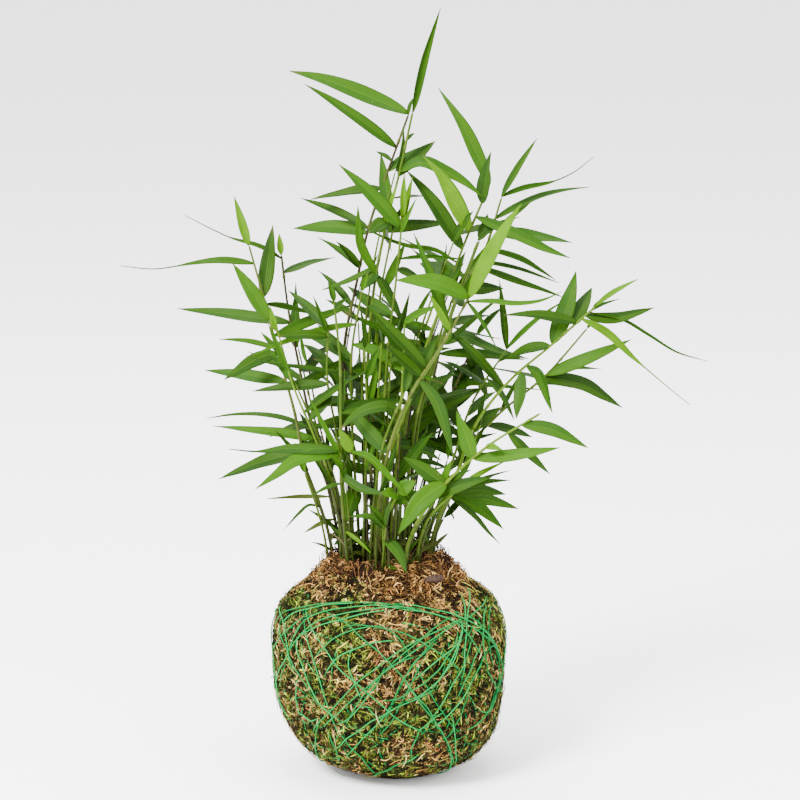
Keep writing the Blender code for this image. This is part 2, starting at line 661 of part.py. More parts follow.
def culm_line(plan, swing):
    """The culm's middle line, leaning back by swing at its top."""
    foot = Vector((*plan["foot"], FOOT_Z))
    heights = [point[1] for point in plan["culm"]]
    low, high = FOOT_Z, max(heights)
    points = [foot, Vector((foot.x, foot.y, FOOT_Z + 7))]
    for across, height, depth in plan["culm"]:
        lean = swing * (height - low) / (high - low)
        points.append(placed(across, height, depth + lean))
    path = smooth_path(points, 8)
    length = sum((b - a).length for a, b in zip(path, path[1:]))
    return even_points(path, max(3, round(length / CULM_STEP)))


def taper(radius, count):
    return [radius * (1 - (1 - TOP_TAPER) * i / (count - 1)) for i in range(count)]


def clear_of(tree, others):
    return not any(tree.overlap(other) for other in others)


def settle_culms():
    """Every culm's line, each swung back or forward until it is clear of those before it."""
    lines = {}
    guards = {}
    for name, plan in PLAN.items():
        for swing in SWINGS:
            line = culm_line(plan, swing)
            radii = [r + GUARD for r in taper(plan["radius"], len(line))]
            guard = BVHTree.FromPolygons(*tube_faces(line, radii, 6))
            if clear_of(guard, guards.values()):
                break
        lines[name] = line
        guards[name] = guard
    return lines, guards


def nearest_on(line, across, height):
    """The point of a culm's line that is drawn nearest to a plan point."""
    best = None
    for a, b in zip(line, line[1:]):
        for i in range(13):
            point = a.lerp(b, i / 12)
            drawn = point.z - PLAN_GROUND + VIEW_SLOPE * point.y
            shown = VIEW_MIDDLE + (point.x - VIEW_MIDDLE) / (1 + point.y * VIEW_SPREAD)
            distance = math.hypot(shown - across, drawn - height)
            if best is None or distance < best[0]:
                best = (distance, point)
    return best[1]


def blade_line(plan, base, swing):
    """A leaf's midrib as even points from the culm to the tip."""
    depth = plan["depth"] + swing
    stops = list(plan["via"])
    tip = placed(*plan["tip"], base.y + depth)
    if stops:
        reach = abs(plan["tip"][0] - plan["base"][0]) + abs(plan["tip"][1] - plan["base"][1])
        points = [base]
        for across, height in stops:
            gone = (abs(across - plan["base"][0]) + abs(height - plan["base"][1])) / reach
            points.append(placed(across, height, base.y + depth * min(gone, 1.0)))
        points.append(tip)
    else:
        middle = base.lerp(tip, 0.5)
        middle.z += ARCH * (tip - base).length
        points = [base, middle, tip]
    return even_points(smooth_path(points, 6), BLADE_SEGMENTS)


def blade_width(share, width, tail):
    """Width along a lance-shaped blade; a tail is a thin whip beyond it."""
    if share > 1 - tail:
        return BLADE_TIP_WIDTH + 0.5 * (1 - share) / max(tail, 0.01)
    share /= 1 - tail
    swell = math.sin(math.pi * min(1.0, share ** 0.62)) ** 0.8
    return max(BLADE_FOOT_WIDTH if share < 0.5 else BLADE_TIP_WIDTH, width * swell)


def blade_faces(line, plan, roll, spare=0.0):
    """A leaf's flat blade as corners and faces, two corners at each point of its midrib."""
    work = bmesh.new()
    bmesh.ops.create_grid(work, x_segments=BLADE_SEGMENTS, y_segments=1, size=1.0)
    grid = sorted(work.verts, key=lambda vertex: (round(vertex.co.x, 4), vertex.co.y))
    face_up = Vector((math.sin(roll), -0.75 * math.cos(roll), 0.65 * math.cos(roll)))
    for index, vertex in enumerate(grid):
        station, side = divmod(index, 2)
        along = (line[min(station + 1, BLADE_SEGMENTS)] - line[max(station - 1, 0)]).normalized()
        across = along.cross(face_up).normalized()
        half = blade_width(station / BLADE_SEGMENTS, plan["width"], plan["tail"]) / 2 + spare
        vertex.co = line[station] + across * half * (1 if side else -1)
    return work


def tree_of(work):
    work.normal_update()
    return BVHTree.FromBMesh(work)


def padded_tree(line, plan, roll):
    """A closed shape around a leaf, which others keep out of."""
    work = blade_faces(line, plan, roll, GUARD)
    thick = BLADE_THICKNESS / 2 + GUARD
    bmesh.ops.recalc_face_normals(work, faces=work.faces)
    for vertex in work.verts:
        vertex.co -= vertex.normal * thick
    bmesh.ops.solidify(work, geom=work.faces[:], thickness=-2 * thick)
    tree = tree_of(work)
    work.free()
    return tree


def settle_leaf(plan, line, roll, obstacles):
    """The leaf's midrib, its tip swung back or forward until the blade is clear of all obstacles."""
    base = nearest_on(line, *plan["base"])
    for swing in SWINGS:
        midrib = blade_line(plan, base, swing)
        blade = blade_faces(midrib, plan, roll, GUARD / 2)
        tree = tree_of(blade)
        blade.free()
        if clear_of(tree, obstacles):
            return midrib
    print("no clear place for the leaf to", plan["tip"])
    return None


def blade_object(name, midrib, plan, roll, collection):
    work = blade_faces(midrib, plan, roll)
    bmesh.ops.recalc_face_normals(work, faces=work.faces)
    for vertex in work.verts:
        vertex.co *= 0.001
    mesh = bpy.data.meshes.new(name)
    work.to_mesh(mesh)
    work.free()
    obj = add_object(name, mesh, HELPERS, LEAF)
    wall = obj.modifiers.new("wall", "SOLIDIFY")
    wall.thickness = BLADE_THICKNESS * 0.001
    wall.offset = 0
    collection.objects.link(obj)
    HELPERS.objects.unlink(obj)
    return obj


def culm_object(name, line, radii, collection):
    curve = bpy.data.curves.new(name, "CURVE")
    curve.dimensions = "3D"
    curve.bevel_depth = 0.001
    curve.bevel_resolution = CULM_SIDES_LEVEL
    curve.use_fill_caps = True
    spline = curve.splines.new("POLY")
    spline.points.add(len(line) - 1)
    for slot, point, radius in zip(spline.points, line, radii):
        slot.co = (*mm(*point), 1)
        slot.radius = radius
    return curve_to_mesh(name, curve, collection, LEAF)


def socket_cutter(name, line, radius, cutters):
    """The hole in the soil that this culm stands in."""
    along = (line[1] - line[0]).normalized()
    stretch = [line[0] - along * FOOT_CLEARANCE, line[0] + along * SOCKET_REACH]
    obj = culm_object(name, stretch, [radius + FOOT_CLEARANCE] * 2, HELPERS)
    cutters.objects.link(obj)
    HELPERS.objects.unlink(obj)


def grow_shoots(ball_tree):
    """Every shoot as one body: culm, twig and leaves grown together."""
    rolls = random.Random(7)
    lines, culm_guards = settle_culms()
    leaf_guards = {name: [] for name in PLAN}
    for name, plan in PLAN.items():
        line = lines[name]
        blades = helper_collection(name + "_blades")
        culm_object(name, line, taper(plan["radius"], len(line)), PARTS)
        reach = line
        if plan["twig"]:
            twig = [nearest_on(line, *plan["twig"][0][:2])]
            twig += [placed(*point) for point in plan["twig"][1:]]
            radii = taper(plan["radius"] * 0.7, len(twig))
            obj = culm_object(name + "_twig", twig, radii, HELPERS)
            blades.objects.link(obj)
            HELPERS.objects.unlink(obj)
            reach = line + twig
        others = [tree for key, tree in culm_guards.items() if key != name]
        for key, trees in leaf_guards.items():
            if key != name:
                others += trees
        for index, blade in enumerate(plan["leaves"]):
            roll = rolls.uniform(-0.5, 0.5)
            midrib = settle_leaf(blade, reach, roll, others + [ball_tree])
            if midrib is None:
                continue
            blade_object(f"{name}_blade_{index}", midrib, blade, roll, blades)
            leaf_guards[name].append(padded_tree(midrib, blade, roll))
        join_all(bpy.data.objects[name], blades)
    return lines


def bark_chip():
    """A chip of bark lying on the cap by the stems."""
    work = bmesh.new()
    bmesh.ops.create_cube(work, size=1.0)
    bmesh.ops.bevel(work, geom=work.edges[:], offset=0.18, segments=1, affect="EDGES", profile=0.5)
    place = Matrix.Translation(CHIP_PLACE) @ Matrix.Rotation(math.radians(CHIP_TURN), 4, "Z")
    place = place @ Matrix.Rotation(math.radians(CHIP_LEAN), 4, "X")
    place = place @ Matrix.Diagonal((*CHIP_SIZE, 1))
    bmesh.ops.transform(work, matrix=Matrix.Scale(0.001, 4) @ place, verts=work.verts)
    mesh = bpy.data.meshes.new("bark_chip")
    work.to_mesh(mesh)
    work.free()
    return add_object("bark_chip", mesh, PARTS, BARK)


def mesh_tree(mesh):
    corners = [vertex.co * 1000 for vertex in mesh.vertices]
    faces = [tuple(polygon.vertices) for polygon in mesh.polygons]
    return BVHTree.FromPolygons(corners, faces)


def main():
    moss_wrap()
    sphagnum_cap()
    binding_thread()
    bark_chip()
    swollen = [(radius + 2.5, z + 1.5) for radius, z in BALL_PROFILE + CAP_PROFILE[1:]]
    guard = turned("ball_guard", swollen, BALL_STEPS)
    ball_tree = mesh_tree(guard)
    bpy.data.meshes.remove(guard)
    lines = grow_shoots(ball_tree)
    sockets = helper_collection("sockets")
    for name, line in lines.items():
        socket_cutter(name + "_socket", line, PLAN[name]["radius"], sockets)
    soil_core(sockets)


main()
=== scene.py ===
"""Kokedama moss ball plant: the looks of its moss, thread, dry sphagnum, culms and leaves."""

import math
import random

import bmesh
import bpy
import numpy as np
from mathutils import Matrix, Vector, noise
from mathutils.bvhtree import BVHTree


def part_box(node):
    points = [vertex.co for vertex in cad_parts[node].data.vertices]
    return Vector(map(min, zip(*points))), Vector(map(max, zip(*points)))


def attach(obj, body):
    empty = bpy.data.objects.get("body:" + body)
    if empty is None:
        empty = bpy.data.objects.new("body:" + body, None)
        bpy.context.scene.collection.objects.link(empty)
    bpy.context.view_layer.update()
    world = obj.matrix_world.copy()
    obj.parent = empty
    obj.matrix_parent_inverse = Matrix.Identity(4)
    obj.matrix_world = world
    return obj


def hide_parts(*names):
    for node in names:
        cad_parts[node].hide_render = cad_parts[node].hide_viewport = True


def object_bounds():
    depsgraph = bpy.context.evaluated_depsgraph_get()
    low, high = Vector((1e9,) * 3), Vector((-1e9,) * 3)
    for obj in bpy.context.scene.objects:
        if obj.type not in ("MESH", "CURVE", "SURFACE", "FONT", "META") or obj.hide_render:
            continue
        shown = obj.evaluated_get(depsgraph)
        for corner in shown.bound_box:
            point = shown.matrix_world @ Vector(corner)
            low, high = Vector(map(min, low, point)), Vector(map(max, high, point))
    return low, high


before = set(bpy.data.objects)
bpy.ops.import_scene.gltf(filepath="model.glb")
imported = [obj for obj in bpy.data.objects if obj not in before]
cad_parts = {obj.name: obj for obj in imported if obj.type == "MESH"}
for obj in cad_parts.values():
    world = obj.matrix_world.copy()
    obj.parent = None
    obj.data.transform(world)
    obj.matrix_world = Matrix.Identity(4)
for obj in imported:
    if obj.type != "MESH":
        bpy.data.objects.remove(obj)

CAD_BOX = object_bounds()
MM = 0.001

# ---------------------------------------------------------------- planting plan, in millimetres

FOOT_Z = 96.0
CULM_STEP = 30.0
TOP_TAPER = 0.55
BLADE_SEGMENTS = 4
BLADE_TIP_WIDTH = 0.6
BLADE_FOOT_WIDTH = 1.1
BLADE_THICKNESS = 0.5
ARCH = 0.03
GUARD = 0.6
SWINGS = [0, 5, -5, 10, -10, 15, -15, 20, -20, 26, -26, 32, -32, 40, -40, 48, -48]

# Plan points are (across, height) on a front view that looks down by VIEW_SLOPE, with depth apart.
VIEW_SLOPE = 0.2126
VIEW_SPREAD = 1 / 1500
VIEW_MIDDLE = 5.75
PLAN_GROUND = 3.0
VIEW_AIM = 187.6  # plan height that the view looks at


def leaf(base, tip, width, depth, *via, tail=0.0):
    """A leaf from its place on the culm to its tip; depth is how much further back the tip lies."""
    return {"base": base, "tip": tip, "width": width, "depth": depth, "via": via, "tail": tail}


def shoot(tones, foot, radius, culm, *leaves, twig=()):
    """One culm and its leaves; tones has a letter for the culm and one for each leaf."""
    return {"tones": tones, "foot": foot, "radius": radius, "culm": culm, "leaves": leaves, "twig": twig}


PLAN = {
    "shoot_far_left": shoot(
        "t-ymdbdmmmdg", (-26, 1), 1.2,
        [(-30, 119, 3), (-34, 129, 4), (-42, 154, 6), (-46, 177, 6), (-50, 191, 6), (-55, 212, 5),
         (-62, 240, 4), (-66, 256, 3), (-69, 266, 2)],
        leaf((-69, 266), (-76, 290), 5.0, -6),
        leaf((-67, 257), (-133, 256), 5.0, 8, (-93, 257.5), (-110, 254), tail=0.4),
        leaf((-62, 241), (-57, 277), 7.5, 14),
        leaf((-59, 227), (-77, 256), 7.5, -16),
        leaf((-55, 211), (-82, 198), 7.5, -14, (-66, 208)),
        leaf((-52, 197), (-91.5, 203), 6.5, 16, (-75, 201)),
        leaf((-56, 214), (-84.5, 219), 3.5, 20),
        leaf((-55, 211), (-63.5, 222.5), 3.0, 12),
        leaf((-43, 160), (-85.5, 146.5), 8.5, 10, (-62, 156)),
        leaf((-35, 131), (-53, 120.5), 2.2, -8, (-40, 133), (-46, 128)),
    ),
    "shoot_left_bright": shoot(
        "y-yb", (-24, -7), 1.0,
        [(-24, 124, -9), (-27, 141, -11), (-34, 157, -13), (-38.5, 173, -14), (-45, 187, -15),
         (-50, 203, -16), (-53, 215, -17), (-55, 222, -17)],
        leaf((-55, 222), (-59, 235), 4.0, -4),
        leaf((-50, 203), (-60, 226), 4.0, -10),
    ),
    "shoot_left_inner": shoot(
        "p-ymdmgbttb", (-23, 10), 1.2,
        [(-28, 130, 13), (-32, 149, 14), (-36, 165, 15), (-39, 177, 16), (-42.5, 190, 17), (-44, 203, 18),
         (-49, 222, 18), (-50, 240, 18), (-52, 255, 18), (-53, 262, 18)],
        leaf((-53, 262), (-54, 273), 3.5, 4),
        leaf((-53, 259), (-100.5, 282.5), 3.5, 10, (-62, 265), (-80, 271.5), tail=0.4),
        leaf((-52, 253), (-26.5, 261.5), 5.5, 18),
        leaf((-49, 226), (-105, 235), 6.5, 14, (-80, 232)),
        leaf((-38, 172), (-91, 178), 3.5, 14, (-48, 176.5), (-70, 180)),
        leaf((-37, 166), (-88, 174), 6.5, 10, (-52, 170), (-70, 172)),
        leaf((-30, 137), (-62, 135.5), 3.0, 20, (-45, 136.5)),
        leaf((-29, 124), (-43, 118), 3.0, 8),
        leaf((-26, 118), (-40.5, 131), 3.5, -10),
    ),
    "shoot_left_upright": shoot(
        "g-mmd", (-19, 18), 1.0,
        [(-25, 135, 21), (-30, 150, 24), (-36, 175, 27), (-42, 198, 29), (-45, 215, 30)],
        leaf((-45, 215), (-46, 249), 4.0, 6),
        leaf((-41, 194), (-70, 213), 5.0, 22),
        leaf((-36, 175), (-60, 168), 5.5, 26),
    ),
    "shoot_left_mid": shoot(
        "g-dmddd", (-20, -3), 1.1,
        [(-22, 130, -5), (-24, 160, -7), (-28, 180, -9), (-30, 195, -12), (-32, 205, -13), (-31, 215, -14),
         (-30, 224, -15)],
        leaf((-30, 224), (-49.5, 243), 5.5, 14),
        leaf((-30, 222), (-37.5, 240), 3.0, -8),
        leaf((-31, 220), (-55, 219), 5.5, -12),
        leaf((-30, 195), (-68, 192), 6.5, -6, (-50, 194)),
        leaf((-30, 192), (-39, 177), 8.5, -8),
    ),
    "shoot_front_left": shoot(
        "g-mdgbbggyyb", (-19, -14), 1.2,
        [(-22.5, 124, -20), (-23.7, 141, -22), (-24, 159, -24), (-24, 197, -26), (-25, 225, -27),
         (-27, 237, -27)],
        leaf((-27, 237), (-30, 247), 3.5, -3),
        leaf((-24, 232), (-20, 238), 4.0, -8),
        leaf((-24, 163), (-80, 163), 5.5, -10, (-50, 163), (-70, 161.5), tail=0.2),
        leaf((-24, 159), (-67, 143), 6.5, -16, (-34, 160), (-45, 158), (-54, 152)),
        leaf((-24, 160), (-40, 190), 4.0, -6),
        leaf((-24, 146), (-39, 139), 3.0, -6),
        leaf((-24, 151), (2, 139.5), 5.0, -12, (-14, 142.5)),
        leaf((-22, 121), (-9, 110), 2.2, -8),
        leaf((-18.7, 161.5), (-25, 173), 5.5, -4),
        leaf((-18.7, 161.5), (10, 139), 4.5, -8, (-10.5, 159), (-2.6, 152)),
        twig=[(-23.9, 151, -23), (-21, 157, -26), (-18.7, 161.5, -28)],
    ),
    "shoot_mid_left": shoot(
        "g-bbbgm", (-14, -3), 1.2,
        [(-16, 135, -4), (-17.3, 157, -4), (-19, 198, -3), (-18, 215, -3), (-17, 225, -3), (-13, 243, -4)],
        leaf((-13, 243), (-10, 252), 3.0, -3),
        leaf((-17, 226), (-68, 210), 5.0, -22, (-30, 223), (-50, 217)),
        leaf((-18, 216), (27, 196), 6.0, -26, (-5, 212), (5, 205)),
        leaf((-19, 202), (-71, 210), 3.0, -30, (-40, 203.5), (-60, 206)),
        leaf((-16, 143), (-21, 125), 8.5, -22),
    ),
    "shoot_tall_purple": shoot(
        "p-mmmddmmdd", (-18, 6), 1.3,
        [(-20, 140, 7), (-21, 170, 8), (-22, 195, 9), (-22, 214, 10), (-20, 228, 10), (-18, 237, 10),
         (-13, 260, 11), (-9, 278, 11), (-2, 298, 12), (3.5, 315, 12), (10, 332, 12)],
        leaf((10, 332), (13, 341), 3.0, 2),
        leaf((10, 332), (-48.5, 354.5), 8.5, 10, (-10, 341), (-30, 349.5)),
        leaf((3.5, 315), (-41, 346), 6.5, -8, (-20, 333)),
        leaf((1, 308), (-6, 314), 3.0, 6),
        leaf((-10, 275), (-43, 291), 5.0, 14),
        leaf((-10, 273), (-47, 276), 7.5, 18, (-25, 276)),
        leaf((-14, 256), (-35, 271), 5.5, 10),
        leaf((-14, 254), (-26, 268), 4.5, -8),
        leaf((-18, 236), (-34.5, 254), 4.5, 12),
    ),
    "shoot_tallest": shoot(
        "g-mdmybdgdm", (-8, -1), 1.3,
        [(-9, 150, 0), (-11, 190, 0), (-10, 212, 0), (-9, 225, 0), (-6, 255, 0), (-4, 265, 0), (-1, 276, 0),
         (2, 288, 0), (5.5, 302, 0), (9, 318, 0), (12, 332, 0)],
        leaf((12, 332), (25.5, 382), 5.0, -6, (17, 355)),
        leaf((5, 301), (23, 318.5), 7.5, 12),
        leaf((5.5, 303), (47, 289), 6.5, -8, (16, 307), (35, 298.5)),
        leaf((-2, 272), (5, 298), 3.5, -4),
        leaf((-6, 250), (-15, 285), 5.5, -8, (-14, 266)),
        leaf((-6, 254), (-14, 243), 7.5, -14),
        leaf((0, 279), (-10, 271), 7.5, -12),
        leaf((-6, 252), (8, 224), 6.5, -14),
        leaf((9, 317), (13, 322), 2.5, 5),
    ),
    "shoot_mid_rolled": shoot(
        "g-yybmmd", (-5, -9), 1.1,
        [(-3, 150, -13), (-2, 190, -14), (-1, 205, -15), (1, 225, -15), (3, 240, -16), (4, 250, -16),
         (5, 260, -16), (7, 279, -16)],
        leaf((7, 279), (8, 300), 4.0, -4),
        leaf((7, 277), (12, 299), 4.0, 3),
        leaf((6, 270), (14, 288), 2.5, -5),
        leaf((6.5, 275), (-24.5, 305.5), 8.0, 8),
        leaf((5, 257), (38, 258.5), 3.0, 14),
        leaf((4, 252), (18, 247.5), 5.5, 12),
    ),
    "shoot_mid_back": shoot(
        "g-ddmdd", (-12, 13), 1.0,
        [(-12, 140, 15), (-12, 157, 16), (-13.7, 198, 18), (-14, 215, 19), (-15, 228, 20)],
        leaf((-15, 228), (-31, 240), 4.5, 22),
        leaf((-14, 215), (-1, 227), 5.5, 24),
        leaf((-13, 181), (-2.6, 162), 8.5, -14),
        leaf((-13, 192), (-34, 208), 6.0, 26),
        leaf((-12, 165), (-30, 172), 5.0, 28),
    ),
    "shoot_mid_front": shoot(
        "g-mm", (-13, -11), 1.0,
        [(-12, 140, -15), (-11, 165, -17), (-11, 198, -19), (-12, 214, -20)],
        leaf((-12, 214), (-14, 233), 4.5, -4),
        leaf((-11, 198), (-4, 215), 4.5, -10),
    ),
    "shoot_centre_back": shoot(
        "g-dmdd", (-7, 8), 1.1,
        [(-8, 124, 9), (-6.5, 153, 12), (-6, 198, 15), (-5, 212, 16), (-4, 226, 17)],
        leaf((-4, 226), (-19, 238), 4.5, 20),
        leaf((-5, 208), (-3, 232), 5.5, 24),
        leaf((-6, 185), (14, 200), 6.5, 26),
        leaf((-6.5, 152), (-20, 160), 5.0, 24),
    ),
    "shoot_centre_front": shoot(
        "y-bmg", (2, -14), 1.1,
        [(4, 140, -19), (5, 170, -22), (7, 190, -24), (7, 210, -25), (8, 226, -26)],
        leaf((8, 226), (24, 234), 5.0, -8),
        leaf((7, 213), (-7, 226.5), 5.5, -6),
        leaf((6, 182), (-24, 173), 6.5, -14, (-3, 184), (-14.5, 181)),
    ),
    "shoot_centre_thin": shoot(
        "y-bydd", (0, 12), 0.9,
        [(5, 140, 16), (8, 170, 20), (10, 190, 22), (11, 205, 23), (14, 228, 25)],
        leaf((14, 228), (22, 246), 3.5, 6),
        leaf((11, 206), (22, 208), 6.5, -8),
        leaf((13, 222), (-19, 237), 3.5, 12, (0, 231)),
        leaf((9, 182), (28, 195), 6.0, 20),
    ),
    "shoot_front_tan": shoot(
        "t-ybybmmg", (-7, -19), 1.3,
        [(-5, 130, -24), (-3, 145, -28), (-1, 161, -31), (5, 175, -33), (13, 194, -36), (22, 207, -38),
         (30, 221, -40), (40, 238, -42)],
        leaf((40, 238), (65.5, 283), 7.5, -10, (53, 264)),
        leaf((40, 237), (3.5, 246), 9.5, -14, (22, 245)),
        leaf((31, 223), (20, 240), 4.5, -10),
        leaf((39, 237), (86, 240.5), 3.0, -8, (50, 236), (70, 235)),
        leaf((30, 221), (12.5, 270), 5.5, 6, (22, 246)),
        leaf((39, 236), (54, 213), 3.0, -10),
        leaf((15, 197), (32.5, 159.5), 6.5, -10, (24, 187), (28, 175)),
    ),
    "shoot_right_tall": shoot(
        "g-bydgmmd", (3, -4), 1.3,
        [(4, 135, -2), (6, 157, 0), (9, 180, 1), (16, 205, 1), (22, 222, 0), (28, 240, 0), (31, 256, 0),
         (38, 268, 0), (45, 279, 0), (50, 296, 0)],
        leaf((50, 296), (24.5, 343), 9.0, -6, (38, 322)),
        leaf((41, 273), (17, 309), 8.5, -12, (28, 296)),
        leaf((36, 265), (9, 304), 7.5, 12, (22, 288)),
        leaf((47, 286), (50.5, 311), 7.5, -14),
        leaf((45, 279), (90, 259), 6.5, -8, (63, 271), (75, 265)),
        leaf((31, 257), (-14, 276), 3.5, 10, (22, 263), (5, 266)),
        leaf((12, 191), (-2, 208), 5.0, 14),
    ),
    "shoot_right_inner": shoot(
        "g-mmmd", (7, 5), 1.2,
        [(10, 150, 12), (16, 190, 18), (24, 215, 22), (30, 235, 25), (38, 248, 26), (44, 258, 27),
         (50, 270, 28), (54, 281, 29), (56, 292, 29)],
        leaf((56, 292), (73, 322), 4.0, 6),
        leaf((56, 291), (101, 313), 4.0, 10, (65, 295.5), (80, 299.5), (90, 304), tail=0.4),
        leaf((54, 281), (99.5, 298), 5.0, 14, (70, 290), (84, 295)),
        leaf((27, 225), (51, 232), 6.0, 24),
    ),
    "shoot_right_back": shoot(
        "p-mmbmmmgmb", (5, 19), 1.2,
        [(14, 150, 32), (20, 185, 39), (26, 215, 45), (34, 240, 50), (45, 262, 54), (54, 275, 57)],
        leaf((54, 275), (91, 271), 8.5, 14, (72, 274)),
        leaf((54, 275), (70, 292), 4.0, 20),
        leaf((34, 240), (58, 277), 8.5, -10),
        leaf((48, 267), (83, 251), 5.0, 10, (65, 261)),
        leaf((44, 261), (84.5, 250), 3.5, 22, (62, 257)),
        leaf((42, 257), (87.5, 241.5), 5.0, 4, (62, 250)),
        leaf((27, 218), (70, 209), 6.5, -12, (35, 221), (55, 213)),
        leaf((26, 213), (68, 209), 5.5, 16, (45, 212)),
        leaf((20, 186), (10, 165), 9.5, -8),
    ),
    "shoot_back_hanging": shoot(
        "p-mddmbdd", (10, 24), 1.1,
        [(18, 145, 40), (26, 170, 46), (31, 187, 50), (38, 208, 55), (44, 222, 58)],
        leaf((44, 222), (57, 237), 4.5, 10),
        leaf((37, 206), (33, 184), 8.5, 8),
        leaf((40, 212), (50, 188), 7.5, 10),
        leaf((33, 194), (50, 199), 4.0, 8),
        leaf((31, 188), (76, 193), 4.0, -12, (38, 195), (56, 194)),
        leaf((29, 181), (45, 194), 5.0, 12),
        leaf((35, 198), (22, 209), 4.0, 18),
    ),
    "shoot_right_mid": shoot(
        "g-bdmgdd", (15, 6), 1.1,
        [(24, 130, 12), (28, 142, 14), (35, 165, 18), (40, 180, 20), (46, 197, 22), (52, 206, 24),
         (59, 214, 26)],
        leaf((59, 214), (87, 239), 4.0, 6),
        leaf((59, 214), (55, 250), 4.5, 8),
        leaf((54, 208), (80, 216.5), 3.0, 12),
        leaf((47, 199), (63, 177), 4.5, -16, (56, 190)),
        leaf((36, 169), (57, 184), 8.5, 14),
        leaf((31, 152), (50, 160), 5.0, 20),
    ),
    "shoot_far_right": shoot(
        "y-ymgdymmdmb", (19, -2), 1.2,
        [(23, 120, -2), (32, 142, -3), (40, 168, -4), (53, 189, -5), (67.5, 204, -6), (83, 217, -7),
         (95, 228, -8), (103, 235, -8)],
        leaf((103, 235), (124, 248.5), 3.5, -3),
        leaf((102, 234), (113, 242), 2.5, 4),
        leaf((99, 231), (115, 239), 2.2, 10),
        leaf((97, 229.5), (132, 234.5), 6.0, 8, (112, 229)),
        leaf((95, 228), (151, 185), 5.0, -12, (103, 227), (115, 216), (130, 202), (140, 194), tail=0.4),
        leaf((100, 232), (159, 207.5), 2.4, 18, (116, 228), (145, 211)),
        leaf((82, 216), (93, 253), 9.5, 10, (89, 236)),
        leaf((92, 225), (101, 245), 7.5, 18),
        leaf((69, 205), (82, 181), 5.5, -10, (76, 199)),
        leaf((66, 202), (64, 178), 8.5, 12),
    ),
    "shoot_right_low": shoot(
        "g-mbdmmd", (12, 14), 1.1,
        [(20, 128, 20), (27, 145, 24), (37, 160, 27), (55, 180, 31), (70, 194, 33), (77, 199, 34),
         (85, 208, 35), (99, 225, 36)],
        leaf((99, 225), (104, 232), 2.5, 3),
        leaf((78, 200), (121, 219), 7.0, -6, (100, 209.5)),
        leaf((76, 198), (117, 183.5), 8.5, 10, (96, 196)),
        leaf((80, 202), (106, 204), 2.4, 20),
        leaf((72, 195), (92, 194), 2.4, 22),
        leaf((50, 175), (72, 168), 6.0, 16),
    ),
    "shoot_front_bright": shoot(
        "y-bybmbm", (7, -23), 1.2,
        [(12, 122, -33), (20, 133, -38), (28, 146, -42), (38, 155, -44), (50, 165, -46), (58, 172, -47),
         (70, 177, -48), (76, 181, -48)],
        leaf((28, 146), (5, 121), 9.5, -10, (16, 137)),
        leaf((49, 164), (57, 163), 4.5, -3),
        leaf((43, 159), (86, 164), 6.5, -6, (62, 160)),
        leaf((58, 172), (81, 150.5), 5.5, 10, (68, 163)),
        leaf((42, 158), (34, 182), 8.5, 8),
        leaf((66, 175), (100, 164), 6.5, -8, (82, 173)),
    ),
    "shoot_low_right": shoot(
        "g-mmgd", (18, 16), 1.0,
        [(22, 122, 22), (27, 131, 26), (32, 137, 29)],
        leaf((32, 137), (65.6, 130), 7.0, 10, (50, 135)),
        leaf((32, 137), (58, 120), 7.5, -8, (45, 131)),
        leaf((31, 136), (56, 113), 3.5, -20, (42, 128), (49, 120)),
        leaf((29, 134), (33, 124), 5.5, 14),
    ),
    "shoot_low_front": shoot(
        "y-ydmd", (13, -16), 1.0,
        [(17, 122, -24), (25, 132, -27), (34, 142, -29)],
        leaf((34, 142), (59, 157), 3.5, -4),
        leaf((33, 141), (59, 139.6), 6.5, 10, (46, 142)),
        leaf((34, 142), (61, 147), 4.5, 4),
        leaf((31, 139), (61, 151.6), 3.0, 20),
    ),
    "shoot_back_dark": shoot(
        "g-ddddd", (-3, 21), 1.1,
        [(4, 140, 35), (10, 162, 41), (15, 180, 45), (18, 196, 48)],
        leaf((18, 196), (26, 214), 5.0, 12),
        leaf((10, 162), (34, 181.5), 9.5, 6),
        leaf((11, 165), (54, 170), 5.5, 12, (30, 165)),
        leaf((14, 177), (-6, 186), 6.0, 22),
        leaf((6, 147), (-8, 162), 5.5, 26),
    ),
    "shoot_short_front": shoot(
        "y-bbmgg", (-1, -24), 1.1,
        [(-2.6, 122, -31), (0.6, 129, -33), (5, 141, -36)],
        leaf((5, 141), (14, 147), 7.5, -6),
        leaf((4, 139), (-4, 141), 6.5, -8),
        leaf((3, 136), (18, 141), 6.5, 6),
        leaf((-2, 123), (-20, 129), 4.5, -6, (-9, 128)),
        leaf((-2, 117), (9, 101), 6.5, -16, (4, 112)),
    ),
}



def placed(across, height, depth):
    """A plan point in the object's frame."""
    x = VIEW_MIDDLE + (across - VIEW_MIDDLE) * (1 + depth * VIEW_SPREAD)
    return Vector((x, depth, height + PLAN_GROUND - VIEW_SLOPE * depth))


def smooth_path(points, steps):
    """A Catmull-Rom curve through the points."""
    padded = [2 * points[0] - points[1], *points, 2 * points[-1] - points[-2]]
    path = []
    for a, b, c, d in zip(padded, padded[1:], padded[2:], padded[3:]):
        for i in range(steps):
            t = i / steps
            path.append(
                0.5 * (2 * b + (c - a) * t + (2 * a - 5 * b + 4 * c - d) * t ** 2
                       + (3 * b - a - 3 * c + d) * t ** 3)
            )
    return path + [points[-1]]


def even_points(path, count):
    """The path again, as this many even steps along its length."""
    lengths = [0.0]
    for a, b in zip(path, path[1:]):
        lengths.append(lengths[-1] + (b - a).length)
    out = []
    step = 0
    for i in range(count + 1):
        goal = lengths[-1] * i / count
        while step < len(path) - 2 and lengths[step + 1] < goal:
            step += 1
        share = (goal - lengths[step]) / max(lengths[step + 1] - lengths[step], 1e-9)
        out.append(path[step].lerp(path[step + 1], min(share, 1.0)))
    return out


